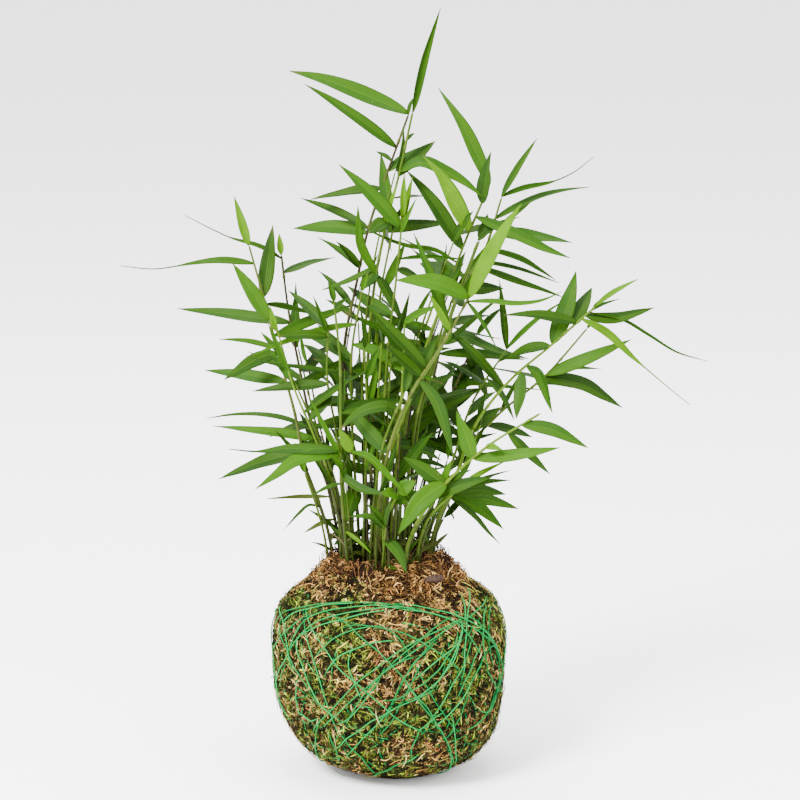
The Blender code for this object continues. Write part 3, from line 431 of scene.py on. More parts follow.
def tube_faces(points, radii, sides):
    """Corners and faces of a plain tube, for clearance tests."""
    corners = []
    for i, (point, radius) in enumerate(zip(points, radii)):
        along = (points[min(i + 1, len(points) - 1)] - points[max(i - 1, 0)]).normalized()
        side = along.orthogonal().normalized()
        other = along.cross(side)
        for k in range(sides):
            turn = 2 * math.pi * k / sides
            corners.append(point + radius * (math.cos(turn) * side + math.sin(turn) * other))
    faces = []
    for i in range(len(points) - 1):
        for k in range(sides):
            low = i * sides
            faces.append((low + k, low + (k + 1) % sides, low + sides + (k + 1) % sides, low + sides + k))
    return corners, faces


def culm_line(plan, swing):
    """The culm's middle line, leaning back by swing at its top."""
    foot = Vector((*plan["foot"], FOOT_Z))
    heights = [point[1] for point in plan["culm"]]
    low, high = FOOT_Z, max(heights)
    points = [foot, Vector((foot.x, foot.y, FOOT_Z + 7))]
    for across, height, depth in plan["culm"]:
        lean = swing * (height - low) / (high - low)
        points.append(placed(across, height, depth + lean))
    path = smooth_path(points, 8)
    length = sum((b - a).length for a, b in zip(path, path[1:]))
    return even_points(path, max(3, round(length / CULM_STEP)))


def taper(radius, count):
    return [radius * (1 - (1 - TOP_TAPER) * i / (count - 1)) for i in range(count)]


def clear_of(tree, others):
    return not any(tree.overlap(other) for other in others)


def settle_culms():
    """Every culm's line, each swung back or forward until it is clear of those before it."""
    lines = {}
    guards = {}
    for name, plan in PLAN.items():
        for swing in SWINGS:
            line = culm_line(plan, swing)
            radii = [r + GUARD for r in taper(plan["radius"], len(line))]
            guard = BVHTree.FromPolygons(*tube_faces(line, radii, 6))
            if clear_of(guard, guards.values()):
                break
        lines[name] = line
        guards[name] = guard
    return lines, guards


def nearest_on(line, across, height):
    """The point of a culm's line that is drawn nearest to a plan point."""
    best = None
    for a, b in zip(line, line[1:]):
        for i in range(13):
            point = a.lerp(b, i / 12)
            drawn = point.z - PLAN_GROUND + VIEW_SLOPE * point.y
            shown = VIEW_MIDDLE + (point.x - VIEW_MIDDLE) / (1 + point.y * VIEW_SPREAD)
            distance = math.hypot(shown - across, drawn - height)
            if best is None or distance < best[0]:
                best = (distance, point)
    return best[1]


def blade_line(plan, base, swing):
    """A leaf's midrib as even points from the culm to the tip."""
    depth = plan["depth"] + swing
    stops = list(plan["via"])
    tip = placed(*plan["tip"], base.y + depth)
    if stops:
        reach = abs(plan["tip"][0] - plan["base"][0]) + abs(plan["tip"][1] - plan["base"][1])
        points = [base]
        for across, height in stops:
            gone = (abs(across - plan["base"][0]) + abs(height - plan["base"][1])) / reach
            points.append(placed(across, height, base.y + depth * min(gone, 1.0)))
        points.append(tip)
    else:
        middle = base.lerp(tip, 0.5)
        middle.z += ARCH * (tip - base).length
        points = [base, middle, tip]
    return even_points(smooth_path(points, 6), BLADE_SEGMENTS)


def blade_width(share, width, tail):
    """Width along a lance-shaped blade; a tail is a thin whip beyond it."""
    if share > 1 - tail:
        return BLADE_TIP_WIDTH + 0.5 * (1 - share) / max(tail, 0.01)
    share /= 1 - tail
    swell = math.sin(math.pi * min(1.0, share ** 0.62)) ** 0.8
    return max(BLADE_FOOT_WIDTH if share < 0.5 else BLADE_TIP_WIDTH, width * swell)


def blade_faces(line, plan, roll, spare=0.0):
    """A leaf's flat blade as corners and faces, two corners at each point of its midrib."""
    work = bmesh.new()
    bmesh.ops.create_grid(work, x_segments=BLADE_SEGMENTS, y_segments=1, size=1.0)
    grid = sorted(work.verts, key=lambda vertex: (round(vertex.co.x, 4), vertex.co.y))
    face_up = Vector((math.sin(roll), -0.75 * math.cos(roll), 0.65 * math.cos(roll)))
    for index, vertex in enumerate(grid):
        station, side = divmod(index, 2)
        along = (line[min(station + 1, BLADE_SEGMENTS)] - line[max(station - 1, 0)]).normalized()
        across = along.cross(face_up).normalized()
        half = blade_width(station / BLADE_SEGMENTS, plan["width"], plan["tail"]) / 2 + spare
        vertex.co = line[station] + across * half * (1 if side else -1)
    return work


def tree_of(work):
    work.normal_update()
    return BVHTree.FromBMesh(work)


def padded_tree(line, plan, roll):
    """A closed shape around a leaf, which others keep out of."""
    work = blade_faces(line, plan, roll, GUARD)
    thick = BLADE_THICKNESS / 2 + GUARD
    bmesh.ops.recalc_face_normals(work, faces=work.faces)
    for vertex in work.verts:
        vertex.co -= vertex.normal * thick
    bmesh.ops.solidify(work, geom=work.faces[:], thickness=-2 * thick)
    tree = tree_of(work)
    work.free()
    return tree


def settle_leaf(plan, line, roll, obstacles):
    """The leaf's midrib, its tip swung back or forward until the blade is clear of all obstacles."""
    base = nearest_on(line, *plan["base"])
    for swing in SWINGS:
        midrib = blade_line(plan, base, swing)
        blade = blade_faces(midrib, plan, roll, GUARD / 2)
        tree = tree_of(blade)
        blade.free()
        if clear_of(tree, obstacles):
            return midrib
    print("no clear place for the leaf to", plan["tip"])
    return None


# ---------------------------------------------------------------- ball, cap and thread, in millimetres

BALL_PROFILE = [
    (24, 0), (32, 3.2), (39.5, 7.2), (46, 12.5), (51.3, 19), (55.3, 27.5),
    (58.3, 39), (59.5, 55), (59.3, 71), (55.5, 85), (50, 91.5), (43.5, 96),
]
CAP_PROFILE = [(38, 100.3), (34.5, 103.2), (32.5, 105.8), (30, 106.2)]
SPOT_SHIFT = 4.0
SPOT_FADE = 40.0
MOSS_DEPTH = 1.6  # how far the moss bed lies inside the ball's outline, under its strands
BALL_MIDDLE = 52.0
CORE_TOP = 103.0
HEAP_TOP = 112.5  # how high the dry curls reach round the stems
THREAD_RADIUS = 0.31
THREAD_GREEN = (0.0, 0.25, 0.048)

# Each turn of the thread passes these three places on the front, as (across, height) plan points.
THREAD_TURNS = [
    ((-56, 75), (0, 81), (51, 63)), ((-40, 75), (5, 80), (44, 62)), ((-48, 62), (-25, 76.5), (10, 80)),
    ((-42, 67), (-27, 73), (-8, 77.5)), ((-57, 61), (-50, 69), (-43, 75)),
    ((-52, 74), (3, 82), (22, 79)), ((-18, 70.5), (-3, 69), (9, 58)),
    ((-39, 69), (-20, 43), (12, 16.5)), ((-24, 73), (2, 49), (28, 13)),
    ((-35, 57), (-22, 67), (-8, 70)), ((-28, 51), (-18, 58), (-6, 62)),
    ((-42, 68), (-36, 45), (-29, 22)), ((-47, 58), (-41, 41), (-30, 24)),
    ((-55, 70), (-51, 56), (-46, 45)), ((-58, 75), (-58.5, 50), (-56, 35)),
    ((-50, 60), (-54, 50), (-58, 38)), ((-55, 80), (-52, 66), (-50, 50)),
    ((-47, 40), (-46, 28), (-42, 22)), ((-19.5, 55), (-19, 44), (-15, 34)),
    ((-34, 21), (-9, 46), (33, 72)), ((-29, 21.5), (-5, 43), (30, 69)), ((-20, 22), (-8, 40), (2, 49)),
    ((-21, 21), (-12, 31), (-5, 42)), ((-23, 9), (-3, 23), (14, 32)), ((14, 32.5), (28, 45), (37, 72)),
    ((4, 32), (20, 42), (34, 62)), ((-2, 46), (14, 62), (27, 72)), ((9, 44), (14, 52), (21, 60)),
    ((0, 26), (8, 43), (20, 58)), ((18, 46), (27, 54.5), (35, 61)), ((43, 62), (35, 44), (23, 22)),
    ((40, 88), (39.5, 70), (38.5, 52)), ((37, 85), (37.5, 67), (30, 49)),
    ((46, 57), (42, 48), (38, 38)), ((46, 47), (37, 32), (26, 19)), ((48, 62), (51, 47), (57, 36)),
    ((41, 75), (52, 65), (58, 50)), ((52, 80), (51, 64), (54, 50)), ((58, 80), (59, 62), (56, 38)),
    ((56, 56), (56, 45), (53, 30)), ((50, 25), (55, 34), (57, 44)), ((8, 66), (20, 60), (30, 53)),
    ((17, 42), (24, 30), (33, 17)), ((16, 30), (25, 16.5), (33, -1)), ((-1, 17), (5, 27), (12, 40)),
    ((27, 24), (17, 16), (12, 6.5)), ((-2, 23), (-11, 13), (-19, 4)), ((30, 12), (36, 22), (40, 34)),
    ((33, 17), (33.5, 7), (34, -2)), ((-36, 15), (-36.5, 7), (-35, 0)),
    ((-30, 12), (-26, 4), (-25, -1)), ((-21, 8), (-14, 0), (-8, -7)), ((23, -10), (30, -6), (32, 0)),
    ((13, 0), (2, -5), (-7, -9)), ((48, 82), (45, 79), (39, 74)), ((42, 17), (47, 21), (52, 28)),
]


def spot_shift(z):
    """How far the ball's section at this height lies to the right of the axis."""
    return SPOT_SHIFT * np.clip(1 - np.asarray(z) / SPOT_FADE, 0, 1)


def unit(rows):
    return rows / np.maximum(np.linalg.norm(rows, axis=1, keepdims=True), 1e-9)


def lumps(points):
    """Soft unevenness of the ball's surface, in millimetres, at points on it."""
    x, y, z = points[:, 0], points[:, 1], points[:, 2]
    broad = np.sin(x / 13 + 1.3) * np.sin(y / 15 + 0.4) * np.sin(z / 14)
    fine = np.sin(x / 5.1 + z / 6.3) * np.sin(y / 4.7 - z / 5.9 + 1)
    flat = np.clip(z / 8, 0, 1)
    return (1.1 * broad + 0.45 * fine) * flat


def fine_outline(profile, step=0.8):
    """A smooth outline through the profile's points as rows of radius and height."""
    line = smooth_path([Vector((radius, z)) for radius, z in profile], 12)
    total = sum((b - a).length for a, b in zip(line, line[1:]))
    return np.array([tuple(point) for point in even_points(line, int(total / step))])


OUTLINE = fine_outline(BALL_PROFILE + CAP_PROFILE)
UNDER = np.array([(radius, 0.0) for radius in np.arange(0.5, 23.5, 1.0)])


def outline_normals(outline):
    along = np.gradient(outline, axis=0)
    along /= np.linalg.norm(along, axis=1, keepdims=True)
    return np.stack([along[:, 1], -along[:, 0]], axis=1)


def polar(radius, angle, z):
    """Points at these radii, angles and heights."""
    return np.stack([radius * np.cos(angle), radius * np.sin(angle), z], axis=1)


def swept(rows, steps):
    """Rows of radius and height carried round the axis, as a flat list of points or directions."""
    angle = np.linspace(0, 2 * math.pi, steps, endpoint=False)
    radii, heights = rows[:, :1], np.repeat(rows[:, 1:], steps, axis=1)
    return np.stack([radii * np.cos(angle), radii * np.sin(angle), heights], axis=2).reshape(-1, 3)


def scatter(count, rng, low_z, high_z):
    """Random places on the ball between two heights, with the outward direction at each."""
    inside = (OUTLINE[:, 1] >= low_z) & (OUTLINE[:, 1] <= high_z)
    rows, normals = OUTLINE[inside], outline_normals(OUTLINE)[inside]
    area = np.cumsum(rows[:, 0])
    pick = np.searchsorted(area, rng.random(count) * area[-1])
    angle = rng.random(count) * 2 * np.pi
    radius, z = rows[pick, 0], rows[pick, 1]
    points = polar(radius, angle, z)
    outward = polar(normals[pick, 0], angle, normals[pick, 1])
    points += outward * lumps(points)[:, None]
    points[:, 0] += spot_shift(points[:, 2])
    return points, outward


def clumps(points, size, seed=0.0):
    """A random field of about -1 to 1 whose lumps are this many millimetres across."""
    offset = Vector((seed, seed * 1.7, -seed))
    return np.array([noise.noise(Vector(point) / size + offset) for point in points]) * 1.6


# ---------------------------------------------------------------- materials


class Field:
    """A varying value in a material; arithmetic on it adds Math nodes."""

    def __init__(self, paint, socket):
        self.paint = paint
        self.socket = socket

    def reckon(self, operation, *values):
        made = self.paint.add("ShaderNodeMath", {"operation": operation}, dict(enumerate(values)))
        return Field(self.paint, made.outputs[0])

    def __add__(self, other):
        return self.reckon("ADD", self, other)

    def __sub__(self, other):
        return self.reckon("SUBTRACT", self, other)

    def __mul__(self, other):
        return self.reckon("MULTIPLY", self, other)

    def __rsub__(self, other):
        return self.reckon("SUBTRACT", other, self)

    def __rmul__(self, other):
        return self.reckon("MULTIPLY", other, self)

    def __radd__(self, other):
        return self.reckon("ADD", other, self)

    def size(self):
        return self.reckon("ABSOLUTE", self)

    def wave(self):
        return self.reckon("SINE", self)

    def within(self, low, high):
        """0 at low, 1 at high, straight between and held beyond."""
        sockets = {"Value": self, "From Min": low, "From Max": high}
        made = self.paint.add("ShaderNodeMapRange", {"clamp": True}, sockets)
        return Field(self.paint, made.outputs["Result"])


def named(sockets):
    """Keyword names as the shader's socket names."""
    return {key.replace("_", " ").title().replace("Ior", "IOR"): value for key, value in sockets.items()}


class Paint:
    """A material in the making, round one Principled shader."""

    def __init__(self, name, **sockets):
        self.material = bpy.data.materials.new(name)
        self.material.use_nodes = True
        self.tree = self.material.node_tree
        self.shader = self.tree.nodes["Principled BSDF"]
        self.feed(self.shader, named(sockets))

    def feed(self, node, sockets):
        for key, value in sockets.items():
            if isinstance(value, Field):
                self.tree.links.new(value.socket, node.inputs[key])
            elif isinstance(value, bpy.types.NodeSocket):
                self.tree.links.new(value, node.inputs[key])
            else:
                node.inputs[key].default_value = value

    def add(self, kind, settings=None, sockets=None):
        node = self.tree.nodes.new(kind)
        for key, value in (settings or {}).items():
            if key == "stops":
                self.set_stops(node.color_ramp, value)
            else:
                setattr(node, key, value)
        self.feed(node, sockets or {})
        return node

    def set_stops(self, ramp, stops):
        while len(ramp.elements) < len(stops):
            ramp.elements.new(0.5)
        for element, (place, colour) in zip(ramp.elements, stops):
            element.position = place
            element.color = (*colour, 1)

    def noise(self, size, detail=3.0, roughness=0.55):
        """Noise whose features are about this many millimetres across."""
        place = self.add("ShaderNodeTexCoord").outputs["Object"]
        sockets = {"Vector": place, "Scale": 1 / (size * MM), "Detail": detail, "Roughness": roughness}
        return Field(self, self.add("ShaderNodeTexNoise", None, sockets).outputs[0])

    def tint(self):
        return self.add("ShaderNodeAttribute", {"attribute_name": "tint"}).outputs["Color"]

    def mix(self, factor, first, second, mode="MIX"):
        sockets = {0: factor, 6: first, 7: second}
        return self.add("ShaderNodeMix", {"data_type": "RGBA", "blend_type": mode}, sockets).outputs[2]

    def bump(self, height, depth, strength=1.0):
        sockets = {"Height": height, "Distance": depth * MM, "Strength": strength}
        return self.add("ShaderNodeBump", None, sockets).outputs["Normal"]

    def finish(self, **sockets):
        self.feed(self.shader, named(sockets))
        return self.material


def leaf_blade_paint():
    paint = Paint("leaf_blade", specular_ior_level=0.05)
    blade = paint.add("ShaderNodeUVMap", {"uv_map": "blade"}).outputs["UV"]
    across = Field(paint, paint.add("ShaderNodeSeparateXYZ", None, {"Vector": blade}).outputs["Y"])
    veins = (across * 2 * math.pi * 8).wave() * 0.5 + 0.5
    midrib = 1 - ((across - 0.5).size() * 18).within(0, 1)
    blotches = paint.noise(9).within(0.35, 0.7)
    fleck = paint.noise(1.2, 2.0).within(0.72, 0.78)
    # Painted light: one half of each blade, across the fold line, and broad noise patches are mixed
    # brighter, for light falling on that half and shining through the leaf.
    fold = across.within(0.485, 0.515)
    dull = paint.mix(0.34 * veins + 0.22 * blotches, paint.tint(), (0.005, 0.022, 0.0005, 1))
    painted_light = paint.mix(0.1 * fold + 0.16 * paint.noise(24), dull, (0.055, 0.125, 0.002, 1))
    ribbed = paint.mix(0.1 * midrib, painted_light, (0.1, 0.2, 0.014, 1))
    flecked = paint.mix(0.3 * fleck, ribbed, (0.22, 0.28, 0.07, 1))
    height = 0.6 * veins + midrib + 0.3 * paint.noise(2.5)
    return paint.finish(
        base_color=flecked, roughness=0.42 + 0.16 * blotches, normal=paint.bump(height, 0.15, 0.7)
    )


def culm_paint():
    paint = Paint("culm_skin", specular_ior_level=0.05)
    streak = paint.noise(3.0, 4.0)
    colour = paint.mix(0.4 * streak, paint.tint(), (0.025, 0.03, 0.007, 1))
    roughness = 0.38 + 0.2 * streak
    return paint.finish(base_color=colour, roughness=roughness, normal=paint.bump(streak, 0.1, 0.5))


def strand_paint(name, dark, variation):
    paint = Paint(name, specular_ior_level=0.04)
    grain = paint.noise(1.1, 4.0, 0.7)
    colour = paint.mix(variation * grain, paint.tint(), (*dark, 1))
    roughness = 0.62 + 0.3 * grain
    return paint.finish(base_color=colour, roughness=roughness, normal=paint.bump(grain, 0.25, 0.7))


def moss_bed_paint():
    paint = Paint("moss_bed", specular_ior_level=0.03)
    grain = paint.noise(2.2, 6.0, 0.75)
    patch = paint.noise(16, 3.0)
    # Painted shade: both the green and the brown of the bed run down to near black, for the shade in the
    # gaps between the strands.
    green = paint.mix(grain, (0.003, 0.003, 0.001, 1), (0.028, 0.034, 0.006, 1))
    brown = paint.mix(grain, (0.004, 0.003, 0.001, 1), (0.06, 0.035, 0.012, 1))
    colour = paint.mix(patch.within(0.42, 0.58), green, brown)
    return paint.finish(base_color=colour, roughness=0.9 + 0.1 * grain, normal=paint.bump(grain, 1.2))


def thread_paint():
    paint = Paint("green_thread", specular_ior_level=0.03)
    ply = paint.add("ShaderNodeUVMap", {"uv_map": "blade"}).outputs["UV"]
    split = paint.add("ShaderNodeSeparateXYZ", None, {"Vector": ply})
    turn = Field(paint, split.outputs["X"]) + Field(paint, split.outputs["Y"])
    twist = (turn * 2 * math.pi * 2).wave() * 0.5 + 0.5
    fuzz = paint.noise(1.5, 4.0)
    # Painted shade: the twist stripes are mixed darker, for the shade in the grooves between the thread's
    # plies.
    colour = paint.mix(0.6 * twist + 0.3 * fuzz, paint.tint(), (0.0, 0.05, 0.012, 1))
    return paint.finish(base_color=colour, roughness=0.36 + 0.2 * fuzz, normal=paint.bump(twist, 0.15, 0.6))


def soil_paint():
    paint = Paint("damp_soil", specular_ior_level=0.05)
    crumb = paint.noise(3.0, 8.0, 0.8)
    colour = paint.mix(crumb.within(0.35, 0.75), (0.003, 0.002, 0.0015, 1), (0.035, 0.02, 0.01, 1))
    return paint.finish(base_color=colour, roughness=0.85 + 0.15 * crumb, normal=paint.bump(crumb, 2.5))


def bark_paint():
    paint = Paint("bark_chip_skin", specular_ior_level=0.2)
    grain = paint.noise(2.0, 6.0, 0.7)
    colour = paint.mix(grain.within(0.3, 0.7), (0.012, 0.006, 0.004, 1), (0.05, 0.026, 0.017, 1))
    return paint.finish(base_color=colour, roughness=0.8 + 0.15 * grain, normal=paint.bump(grain, 0.8))


def floor_paint():
    paint = Paint("pale_table", specular_ior_level=0.2)
    haze = paint.noise(200, 2.0)
    colour = paint.mix(haze, (0.93, 0.93, 0.93, 1), (0.95, 0.95, 0.95, 1))
    return paint.finish(base_color=colour, roughness=0.6 + 0.1 * haze)


# ---------------------------------------------------------------- mesh building


class Growth:
    """Corners, faces and colours of one piece, gathered as it grows."""

    def __init__(self):
        self.corners = []
        self.faces = []
        self.tints = []
        self.places = []
        self.finishes = []
        self.count = 0

    def add(self, corners, faces, tints, places, finish=0):
        """Corners (n, 3) in millimetres, faces (m, 4), a tint and a blade place for each corner."""
        self.corners.append(np.asarray(corners, float))
        self.faces.append(np.asarray(faces, int) + self.count)
        self.tints.append(np.asarray(tints, float))
        self.places.append(np.asarray(places, float))
        self.finishes.append(np.full(len(faces), finish))
        self.count += len(corners)

    def piece(self, name, finishes, cells=False):
        """The gathered mesh as an object; cells adds a map for baking each face on its own."""
        corners = np.concatenate(self.corners) * MM
        faces = np.concatenate(self.faces)
        tints = np.concatenate(self.tints)
        places = np.concatenate(self.places)
        mesh = bpy.data.meshes.new(name)
        mesh.vertices.add(len(corners))
        mesh.vertices.foreach_set("co", corners.ravel())
        mesh.loops.add(faces.size)
        mesh.loops.foreach_set("vertex_index", faces.ravel())
        mesh.polygons.add(len(faces))
        mesh.polygons.foreach_set("loop_start", np.arange(0, faces.size, 4))
        mesh.polygons.foreach_set("material_index", np.concatenate(self.finishes))
        for finish in finishes:
            mesh.materials.append(finish)
        mesh.update(calc_edges=True)
        colours = mesh.color_attributes.new("tint", "FLOAT_COLOR", "POINT")
        with_alpha = np.concatenate([tints, np.ones((len(tints), 1))], axis=1)
        colours.data.foreach_set("color", with_alpha.ravel())
        blade = mesh.uv_layers.new(name="blade")
        blade.data.foreach_set("uv", places[faces.ravel()].ravel())
        if cells:
            self.add_cells(mesh, len(faces))
        mesh.shade_smooth()
        obj = bpy.data.objects.new(name, mesh)
        bpy.context.scene.collection.objects.link(obj)
        return obj

    @staticmethod
    def add_cells(mesh, count):
        """A second map that gives every face a small square of its own."""
        side = math.ceil(math.sqrt(count))
        index = np.arange(count)
        low = np.stack([index % side, index // side], axis=1)[:, None, :]
        square = np.array([(0.15, 0.15), (0.85, 0.15), (0.85, 0.85), (0.15, 0.85)])[None]
        cells = mesh.uv_layers.new(name="OFBake")
        cells.data.foreach_set("uv", ((low + square) / side).ravel())


def strip_faces(rows, columns, closed=False):
    """Faces of a grid of corners; closed joins the last column to the first."""
    faces = []
    across = columns if closed else columns - 1
    for i in range(rows - 1):
        for k in range(across):
            after = (k + 1) % columns
            low, high = i * columns, (i + 1) * columns
            faces.append((low + k, low + after, high + after, high + k))
    return np.array(faces)


def ribbons(points, along, side, outward, length, width, lift, curl, stations=4):
    """Many short bent ribbons at once: corners (count * stations * 2, 3) and faces."""
    count = len(points)
    share = np.linspace(0, 1, stations)
    corners = np.empty((count, stations, 2, 3))
    for k, s in enumerate(share):
        reach = (length * s)[:, None]
        rise = (length * (lift * s - 0.55 * lift * s * s))[:, None]
        bend = (length * curl * s * s)[:, None]
        middle = points + along * reach + outward * rise + side * bend
        half = (width * (0.25 + 1.5 * math.sin(math.pi * (0.12 + 0.86 * s)) * 0.55) / 2)[:, None]
        twist = side * (1 - 0.35 * s) + outward * 0.5 * s
        corners[:, k, 0] = middle - twist * half
        corners[:, k, 1] = middle + twist * half
    faces = strip_faces(stations, 2)[None] + (np.arange(count) * stations * 2)[:, None, None]
    return corners.reshape(-1, 3), faces.reshape(-1, 4)


def worms(paths, radii, sides):
    """Many tubes at once from paths (count, stations, 3) and radii (count, stations)."""
    count, stations, _ = paths.shape
    along = np.gradient(paths, axis=1)
    along /= np.maximum(np.linalg.norm(along, axis=2, keepdims=True), 1e-9)
    reference = np.where(np.abs(along[..., 2:3]) > 0.9, np.array([1.0, 0, 0]), np.array([0, 0, 1.0]))
    side = np.cross(along, reference)
    side /= np.linalg.norm(side, axis=2, keepdims=True)
    other = np.cross(along, side)
    corners = np.empty((count, stations, sides, 3))
    for k in range(sides):
        turn = 2 * math.pi * k / sides
        corners[:, :, k] = paths + radii[..., None] * (math.cos(turn) * side + math.sin(turn) * other)
    faces = strip_faces(stations, sides, True)[None]
    faces = faces + (np.arange(count) * stations * sides)[:, None, None]
    return corners.reshape(-1, 3), faces.reshape(-1, 4)


# ---------------------------------------------------------------- moss

# "dark" is painted shade: near-black strands scattered through both mixes stand for the shade between
# tufts. "deep" is dark green moss deepened further by painted shade.
MOSS_TONES = {
    "tip": (0.16, 0.21, 0.014),
    "lime": (0.10, 0.15, 0.009),
    "olive": (0.048, 0.061, 0.009),
    "deep": (0.017, 0.025, 0.005),
    "straw": (0.28, 0.23, 0.047),
    "tan": (0.30, 0.16, 0.033),
    "brown": (0.086, 0.043, 0.016),
    "rust": (0.125, 0.047, 0.022),
    "pale": (0.43, 0.31, 0.125),
    "dark": (0.008, 0.006, 0.003),
}
GREEN_MIX = [("tip", 0.16), ("lime", 0.16), ("olive", 0.26), ("deep", 0.2), ("straw", 0.07), ("dark", 0.15)]
DRY_MIX = [("tan", 0.22), ("brown", 0.2), ("rust", 0.1), ("pale", 0.12), ("straw", 0.18), ("dark", 0.18)]

# Patches on the front, as (across, height) plan points with a reach and how far they lean to dry tan
# moss, or with a minus sign to living green moss.
MOSS_PATCHES = [
    ((2, 38), 11, 1.5), ((4, 87), 12, 1.2), ((24, 87), 13, 1.5), ((-12, 86), 8, 0.5),
    ((20, 72), 8, 0.9), ((14, 58), 9, 1.0), ((-25, 91), 5, 1.0), ((-40, 60), 6, 0.8),
    ((-44, 24), 8, 0.8), ((-32, 26), 5, 0.6), ((46, 20), 9, 0.9), ((-38, 86), 7, 0.9), ((9, 6), 8, 0.9),
    ((26, 4), 7, 0.8), ((48, 6), 6, 0.8), ((0, 72), 7, 0.9), ((-2, 54), 7, 0.7), ((-45, 8), 6, 1.2),
    ((54, 72), 5, 0.8), ((-18, 45), 6, 0.5), ((-24, 80), 10, -1.3), ((-22, 64), 9, -1.0),
    ((14, 92), 4, -1.4), ((-8, 20), 9, -0.9), ((34, 84), 5, -0.9), ((13, 20), 8, -1.1),
    ((30, 32), 7, -0.8), ((-12, 58), 6, -0.5), ((25, 50), 6, -0.7), ((-50, 82), 8, -1.4),
    ((46, 88), 8, -1.4), ((-28, 10), 7, -0.7), ((40, 38), 7, -0.6), ((-35, 38), 6, -0.7),
    ((5, -4), 7, -0.8),
]
MOSS_PIECES = 4
LEAFLETS = 17000  # in each piece
STRANDS = 3600
COLLAR_LEAFLETS = 2200
TABLE_GAP = 0.05


def tone_table(mix):
    colours = np.array([MOSS_TONES[name] for name, _ in mix])
    shares = np.cumsum([share for _, share in mix])
    return colours, shares / shares[-1]


def dryness_at(points):
    """How dried the moss is at each place: over 0 is tan, under 0 is green."""
    field = 0.75 * clumps(points, 15.0, 3.0) + 0.45 * clumps(points, 6.0, 8.0) - 0.22
    front = points[:, 1] < 0
    for place, reach, lean in MOSS_PATCHES:
        away = np.linalg.norm(points - front_point(*place), axis=1) / reach
        field = field + front * lean * np.exp(-away ** 2)
    return field + 0.35 * np.clip((points[:, 2] - 84) / 12, 0, 1)


def strand_tints(points, rng):
    green, green_shares = tone_table(GREEN_MIX)
    dry, dry_shares = tone_table(DRY_MIX)
    draw = rng.random(len(points))
    lush = green[np.searchsorted(green_shares, draw)]
    dried = dry[np.searchsorted(dry_shares, draw)]
    is_dry = dryness_at(points) + rng.normal(0, 0.4, len(points)) > 0
    colour = np.where(is_dry[:, None], dried, lush)
    # Painted light and shade: noise patches of strands are darkened nearly to black as if in shade between
    # clumps, and others are brightened as if lit.
    painted_clump_light_and_shade = np.clip(0.47 + 1.7 * clumps(points, 2.6, 5.0), 0.03, 1.9)
    return colour * (painted_clump_light_and_shade * rng.uniform(0.7, 1.3, len(points)))[:, None]


def surface_ways(outward, rng, fall=0.35):
    count = len(outward)
    random_way = unit(rng.normal(0, 1, (count, 3)) + np.array([0, 0, -fall]))
    along = unit(random_way - outward * (random_way * outward).sum(axis=1, keepdims=True))
    return along, np.cross(outward, along)


def lay_ribbons(growth, corners, faces, tints, painted_shade_and_light_along):
    """Ribbons coloured from tints, darker or brighter along their length, held off the table: painted shade
    darkens each ribbon's foot down in the moss, and its tip is brightened, partly the moss's own paler tips
    and partly painted light.
    """
    corners[:, 2] = np.maximum(corners[:, 2], TABLE_GAP)
    shades = np.repeat((tints[:, None, :] * painted_shade_and_light_along[None, :, None])[:, :, None, :], 2, axis=2).reshape(-1, 3)
    last = len(painted_shade_and_light_along) - 1
    places = np.tile(np.array([(k / last, s) for k in range(len(painted_shade_and_light_along)) for s in (0, 1)]), (len(tints), 1))
    growth.add(corners, faces, shades, places)


def moss_leaflets(growth, count, rng, low_z=0.5, high_z=99, collar=False):
    """Short broad leaflets in every direction; collar keeps one patch of them, over the dry collar."""
    points, outward = scatter(count, rng, low_z, high_z)
    if collar:
        keep = clumps(points, 7.0, 3.0) + 0.02 * (points[:, 0] - 4) + 0.008 * points[:, 1] < -0.05
        points, outward = points[keep], outward[keep]
        points = points + outward * 1.6
        count = len(points)
    along, side = surface_ways(outward, rng)
    length = rng.uniform(1.0, 2.5, count)
    width = rng.uniform(0.5, 1.1, count)
    lift = rng.uniform(0.1, 1.0, count)
    lift[points[:, 2] < 3] *= 0.15
    tints = strand_tints(points, rng)
    start = points - along * length[:, None] * 0.4 - outward * (MOSS_DEPTH - 0.2)
    corners, faces = ribbons(start, along, side, outward, length, width, lift, rng.normal(0, 0.3, count), 3)
    # Painted shade at each leaflet's foot, nearly black, and painted light brightening its tip.
    lay_ribbons(growth, corners, faces, tints, np.array([0.08, 0.7, 1.7]))


def moss_strands(growth, count, rng):
    """Longer curled strands over the leaflets."""
    points, outward = scatter(count, rng, 1.0, 100)
    along, side = surface_ways(outward, rng)
    length = rng.gamma(6.0, 0.5, count) + 1.0
    width = rng.uniform(0.35, 0.75, count)
    lift = rng.uniform(0.05, 0.5, count)
    lift[points[:, 2] < 4] *= 0.2
    tints = strand_tints(points, rng) * 1.15
    start = points - along * length[:, None] * 0.45 - outward * (MOSS_DEPTH - 0.7)
    corners, faces = ribbons(start, along, side, outward, length, width, lift, rng.normal(0, 0.8, count), 5)
    # Painted shade at each strand's foot and painted light brightening it toward the tip.
    lay_ribbons(growth, corners, faces, tints, np.array([0.25, 0.7, 1.0, 1.25, 1.5]))


